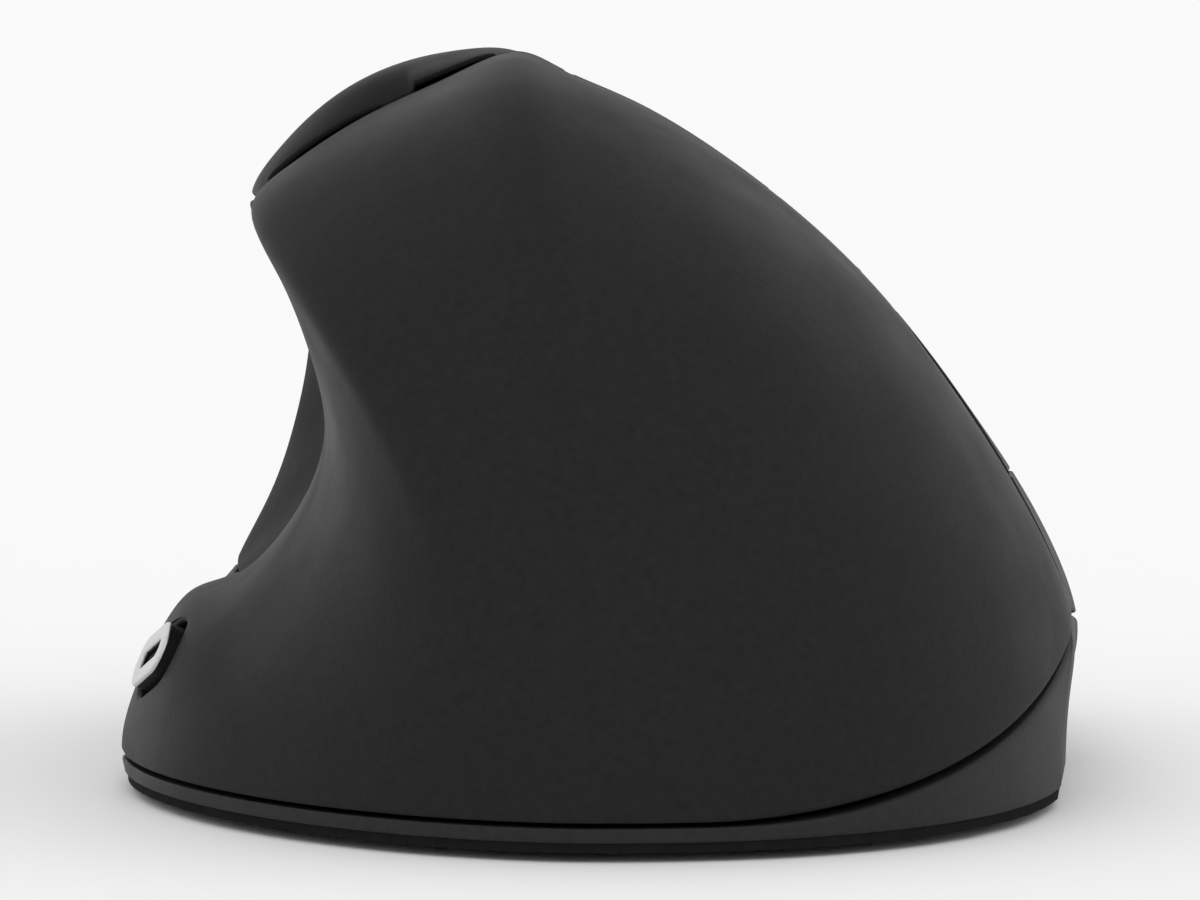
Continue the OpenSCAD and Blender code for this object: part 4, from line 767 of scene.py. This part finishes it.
def make_base_frame():
    heel = stretches(BASE_STRETCHES)
    nose = heel[::-1]
    right = np.linspace(1, 2, BASE_SIDE_COLUMNS)
    left = right[::-1]
    frac = clustered(BASE_ROWS, BASE_FINE)
    groove = PANEL_GAP * (GROOVE + GROOVE_MORE * wedge(heel))
    sets = [column_set(frac, heel, heel_v(heel, PLATE_EDGE), heel, heel_seam(heel, -groove)),
            column_set(frac, BASE_RIGHT_S, right, LIP + gap_s(LIP, right), right),
            column_set(frac, nose, nose_v(nose, PLATE_EDGE), nose, nose_seam(nose, -PANEL_GAP / 2)),
            column_set(frac, BASE_LEFT_S, left, LEFT_SEAM - 2 * gap_s(LEFT_SEAM, left), left)]
    s, v = [np.concatenate(q) for q in zip(*sets)]
    p, n = body(s, v), normal(s, v)
    p[..., 2] += (EDGE_Z - p[:, :1, 2]) * (1 - frac)[None, :] ** LEVEL_FADE
    level = n * np.array([1, 1, 0])
    level /= np.linalg.norm(level, axis=-1, keepdims=True)
    n = n + (level - n) * (1 - ease(frac / UPRIGHT))[None, :, None]
    n /= np.linalg.norm(n, axis=-1, keepdims=True)
    wedges = np.concatenate([wedge(heel), np.ones(right.shape), wedge(nose), np.zeros(left.shape)])
    roll = BASE_ROLL + BASE_ROLL_MORE * wedges[:, None]
    keep_piece(panel_mesh("base_frame_skin", p, n, roll, ring=True), "base_frame", "case", "base_grey")


# Speed key: a satin band on a dark skirt with a flange, and the dark insert in its middle
FLANGE_Z, FLANGE, FLANGE_T, FLANGE_TOP = -WALL - 1.3, 0.8, 1.0, 1.6
BAND_T, BAND_ROUND, BAND_INNER_ROUND, SKIRT_IN = 0.32, 0.25, 0.2, 0.06
INSERT_GAP, INSERT_LOWER, INSERT_ROUND, INSERT_DISH, INSERT_FLOOR = 0.1, 0.5, 0.3, 0.12, 0.4


def ring_loops(profile, length, width):
    """Loops of a profile round the ring; the flange is left off on the upper side."""
    mid, way = stadium(length, width, RING_TURN)
    loops = []
    for r, z in profile:
        xy = mid + way * r
        bare = (xy[:, 0] > FLANGE_TOP) & (r > width / 2)
        xy[bare] = (mid + way * (width / 2 - SKIRT_IN))[bare]
        loops.append(outward(SPEED, np.column_stack([xy, np.full(len(xy), z)])))
    return loops


def make_speed_key():
    outer, inner, low = RING_W / 2, RING_W / 2 - RING_BAND, RING_PROUD - BAND_T
    profile = [(inner, low), *quarter(inner, RING_PROUD, BAND_INNER_ROUND, -1),
               *quarter(outer, RING_PROUD, BAND_ROUND)[::-1], (outer, low)]
    band = closed_loops("speed_ring_band", ring_loops(profile, RING_L, RING_W))
    keep_piece(band, "speed_ring", "speed_key_body", "satin_silver")
    skirt, flange = outer - SKIRT_IN, outer + RING_GAP + FLANGE
    profile = [(inner, FLANGE_Z), (inner, low), (skirt, low), (skirt, FLANGE_Z),
               (flange, FLANGE_Z), (flange, FLANGE_Z - FLANGE_T)]
    base = capped_loops("speed_ring_skirt", ring_loops(profile, RING_L, RING_W)[::-1])
    keep_piece(base, "speed_ring", "speed_key_body", "insert_black")
    half, top = inner - INSERT_GAP, RING_PROUD - INSERT_LOWER
    profile = [(half, FLANGE_Z), *quarter(half, top, INSERT_ROUND), (half * INSERT_FLOOR, top - INSERT_DISH)]
    loops = ring_loops(profile, RING_L - 2 * (RING_BAND + INSERT_GAP), half * 2)
    keep_piece(capped_loops("speed_insert_skin", loops), "speed_insert", "speed_key_body", "insert_black")


# Scroll wheel tyre with ribs across its tread
HUB_R, WHEEL_R = WHEEL_D / 2 - TYRE_T, WHEEL_D / 2
WHEEL_Z = WHEEL_PROUD - WHEEL_R
RIBS, RIB_POINTS, RIB_DEPTH, RIB_SHARP = 24, 16, 0.45, 1.5
TYRE_ROUND, TREAD_POINTS, PLAIN_RIM = 0.9, 9, 1.0


def make_wheel_tyre():
    edge = WHEEL_W / 2
    corner = quarter(WHEEL_R, edge, TYRE_ROUND)[::-1]
    tread = [(WHEEL_R, x) for x in np.linspace(edge - TYRE_ROUND, TYRE_ROUND - edge, TREAD_POINTS)[1:-1]]
    far_corner = [(r, -x) for r, x in corner[::-1]]
    section = np.array([(HUB_R, edge), *corner, *tread, *far_corner, (HUB_R, -edge)])
    r, x = section[:, 0], section[:, 1]
    turns = np.linspace(0, 2 * math.pi, RIBS * RIB_POINTS, endpoint=False)
    groove = np.clip(np.cos(RIBS * turns), 0, 1) ** RIB_SHARP
    share = np.clip((r - HUB_R - PLAIN_RIM) / (WHEEL_R - HUB_R - PLAIN_RIM), 0, 1) ** 2
    radius = r[None, :] - RIB_DEPTH * groove[:, None] * share[None, :]
    tyre = np.stack([np.broadcast_to(x, radius.shape), WHEEL_Y + radius * np.cos(turns)[:, None],
                     WHEEL_Z + radius * np.sin(turns)[:, None]], -1)
    loops = [outward(FINGERS, tyre[:, j]) for j in range(len(section))]
    keep_piece(closed_loops("wheel_tyre_skin", loops), "wheel_tyre", "wheel_body", "tyre_rubber")


# Materials: one for each slot, all with procedural grain. Tint and roughness change over the noise's middle.
NOISE_LOW, NOISE_HIGH = 0.3, 0.7
TINT_GRAINS, ROUGH_PATCH, BUMP_SHARE = 3, 14, 0.25
TINT_DETAIL, ROUGH_DETAIL, BUMP_DETAIL = 3, 4, 2
LEAST_ROUGH, COAT_ROUGH = 0.02, 0.08


def material(slot, color, rough, grain, bump, spec=0.5, metal=0.0, coat=0.0, glass=0.0, vary=0.12,
             rough_vary=0.08, stretch=(1, 1, 1)):
    """Surface with fine bumps of a size in mm, and slow changes of tint and roughness."""
    mat = bpy.data.materials.new(slot)
    mat.use_nodes = True
    tree = mat.node_tree
    shader = tree.nodes["Principled BSDF"]
    place = tree.nodes.new("ShaderNodeTexCoord")
    mapping = tree.nodes.new("ShaderNodeMapping")
    mapping.inputs["Scale"].default_value = stretch
    tree.links.new(place.outputs["Object"], mapping.inputs["Vector"])

    def noise(size_mm, detail):
        node = tree.nodes.new("ShaderNodeTexNoise")
        node.inputs["Scale"].default_value = 1 / MM / size_mm
        node.inputs["Detail"].default_value = detail
        tree.links.new(mapping.outputs["Vector"], node.inputs["Vector"])
        return node.outputs["Fac"]

    tint = tree.nodes.new("ShaderNodeValToRGB")
    dark, light = tint.color_ramp.elements
    dark.position, light.position = NOISE_LOW, NOISE_HIGH
    dark.color = tuple(c * (1 - vary) for c in color) + (1,)
    light.color = tuple(min(1, c * (1 + vary)) for c in color) + (1,)
    tree.links.new(noise(grain * TINT_GRAINS, TINT_DETAIL), tint.inputs["Fac"])
    tree.links.new(tint.outputs["Color"], shader.inputs["Base Color"])
    patches = tree.nodes.new("ShaderNodeMapRange")
    patches.inputs["From Min"].default_value = NOISE_LOW
    patches.inputs["From Max"].default_value = NOISE_HIGH
    patches.inputs["To Min"].default_value = max(LEAST_ROUGH, rough - rough_vary)
    patches.inputs["To Max"].default_value = min(1, rough + rough_vary)
    tree.links.new(noise(ROUGH_PATCH, ROUGH_DETAIL), patches.inputs["Value"])
    tree.links.new(patches.outputs["Result"], shader.inputs["Roughness"])
    bumps = tree.nodes.new("ShaderNodeBump")
    bumps.inputs["Strength"].default_value = bump
    bumps.inputs["Distance"].default_value = grain * BUMP_SHARE * MM
    tree.links.new(noise(grain, BUMP_DETAIL), bumps.inputs["Height"])
    tree.links.new(bumps.outputs["Normal"], shader.inputs["Normal"])
    for socket, value in (("Metallic", metal), ("Specular IOR Level", spec), ("Coat Weight", coat),
                          ("Coat Roughness", COAT_ROUGH), ("Transmission Weight", glass)):
        shader.inputs[socket].default_value = value
    return mat


FINISHES = {
    "soft_black": dict(color=(0.0175, 0.0175, 0.018), rough=0.5, grain=0.24, bump=0.5, spec=0.06),
    "thumb_rubber": dict(color=(0.006, 0.006, 0.0062), rough=0.68, grain=0.4, bump=0.8, spec=0.1),
    "cap_black": dict(color=(0.009, 0.009, 0.0093), rough=0.5, grain=0.22, bump=0.45, spec=0.06),
    "key_black": dict(color=(0.009, 0.009, 0.0093), rough=0.48, grain=0.2, bump=0.4, spec=0.08),
    "button_black": dict(color=(0.0175, 0.0175, 0.018), rough=0.5, grain=0.24, bump=0.5, spec=0.06),
    "satin_silver": dict(color=(0.58, 0.58, 0.59), rough=0.36, grain=0.12, bump=0.15, metal=1.0, vary=0.04),
    "insert_black": dict(color=(0.006, 0.006, 0.006), rough=0.6, grain=0.3, bump=0.4, spec=0.15),
    "gloss_black": dict(color=(0.008, 0.008, 0.0085), rough=0.12, grain=0.6, bump=0.05, coat=0.6,
                        rough_vary=0.03),
    "base_grey": dict(color=(0.024, 0.024, 0.0245), rough=0.5, grain=0.22, bump=0.5, spec=0.1),
    "plate_black": dict(color=(0.012, 0.012, 0.0123), rough=0.75, grain=0.5, bump=0.3, spec=0.02),
    "glide": dict(color=(0.03, 0.03, 0.031), rough=0.3, grain=0.8, bump=0.15, spec=0.4),
    "steel": dict(color=(0.5, 0.5, 0.51), rough=0.34, grain=0.2, bump=0.2, metal=1.0, vary=0.06,
                  stretch=(1, 0.2, 1)),
    "frame_plastic": dict(color=(0.05, 0.05, 0.053), rough=0.5, grain=0.4, bump=0.4),
    "board_green": dict(color=(0.015, 0.14, 0.06), rough=0.35, grain=0.5, bump=0.25, coat=0.3),
    "switch_black": dict(color=(0.015, 0.015, 0.016), rough=0.45, grain=0.3, bump=0.4),
    "plunger_white": dict(color=(0.7, 0.7, 0.67), rough=0.35, grain=0.4, bump=0.15, vary=0.04),
    "tyre_rubber": dict(color=(0.01, 0.01, 0.01), rough=0.72, grain=0.25, bump=0.7, spec=0.15),
    "encoder_blue": dict(color=(0.02, 0.08, 0.22), rough=0.45, grain=0.4, bump=0.3),
    "lens_clear": dict(color=(0.9, 0.94, 0.97), rough=0.05, grain=2.0, bump=0.03, rough_vary=0.02, vary=0.02,
                       glass=0.9),
    "cell_wrap": dict(color=(0.42, 0.3, 0.08), rough=0.28, grain=1.0, bump=0.1, coat=0.4),
    "slider_grey": dict(color=(0.5, 0.5, 0.5), rough=0.45, grain=0.3, bump=0.3, vary=0.05),
    "ribbon_white": dict(color=(0.7, 0.7, 0.66), rough=0.35, grain=0.6, bump=0.2, vary=0.04,
                         stretch=(1, 6, 1)),
}


def dress_pieces():
    """Gives each new piece, and each node that stays, the material of its slot."""
    materials = {slot: material(slot, **finish) for slot, finish in FINISHES.items()}
    slot_of = {p["node"]: p["material_slot"] for p in frame["record"]["subparts"]}
    for name, ob in frame["nodes"].items():
        for target, slot in made.get(name, [(ob, slot_of[name])]):
            target.data.materials.clear()
            target.data.materials.append(materials[slot])


# Floor, light and camera; the camera's scale and lift are in pixels of the photograph's frame
FLOOR_SIZE, FLOOR_TONE, FLOOR_ROUGH = 24, 0.95, 0.9
AIM_Y, AIM_Z = -7.5, 30
CAMERA_RISE, CAMERA_AWAY = math.radians(4.5), 0.65
FRAME_W, PIXELS_PER_MM, CAMERA_LIFT = 1200, 11.5, 10
SENSOR_W, CLIP_START, CLIP_END = 36, 0.01, 60


def make_floor():
    bpy.ops.mesh.primitive_plane_add(size=FLOOR_SIZE, location=(0, 0, 0))
    floor = bpy.context.object
    floor.name = "floor"
    mat = bpy.data.materials.new("floor")
    mat.use_nodes = True
    shader = mat.node_tree.nodes["Principled BSDF"]
    shader.inputs["Base Color"].default_value = (FLOOR_TONE, FLOOR_TONE, FLOOR_TONE, 1)
    shader.inputs["Roughness"].default_value = FLOOR_ROUGH
    shader.inputs["Specular IOR Level"].default_value = 0.0
    floor.data.materials.append(mat)


def make_light():
    world = bpy.data.worlds.new("studio")
    scene.world = world
    world.use_nodes = True
    background = world.node_tree.nodes["Background"]
    background.inputs["Color"].default_value = (1, 1, 1, 1)
    background.inputs["Strength"].default_value = 1.0


def make_camera():
    aim = Vector((-DRAWN_MID_X * MM, AIM_Y * MM, AIM_Z * MM))
    camera = bpy.data.cameras.new("camera")
    eye = bpy.data.objects.new("camera", camera)
    scene.collection.objects.link(eye)
    scene.camera = eye
    camera.sensor_fit = "HORIZONTAL"
    camera.sensor_width = SENSOR_W
    camera.lens = SENSOR_W * PIXELS_PER_MM * CAMERA_AWAY / MM / FRAME_W
    camera.shift_y = -CAMERA_LIFT / FRAME_W
    camera.clip_start, camera.clip_end = CLIP_START, CLIP_END
    eye.location = aim + CAMERA_AWAY * Vector((0, -math.cos(CAMERA_RISE), math.sin(CAMERA_RISE)))
    eye.rotation_euler = (aim - eye.location).to_track_quat("-Z", "Y").to_euler()


make_palm_shell()
make_seam_lips()
make_thumb_panel()
make_top_cap()
make_thumb_keys()
make_finger_side()
make_base_frame()
make_speed_key()
make_wheel_tyre()
dress_pieces()
make_floor()
make_light()
make_camera()
scene.view_settings.view_transform = "Standard"
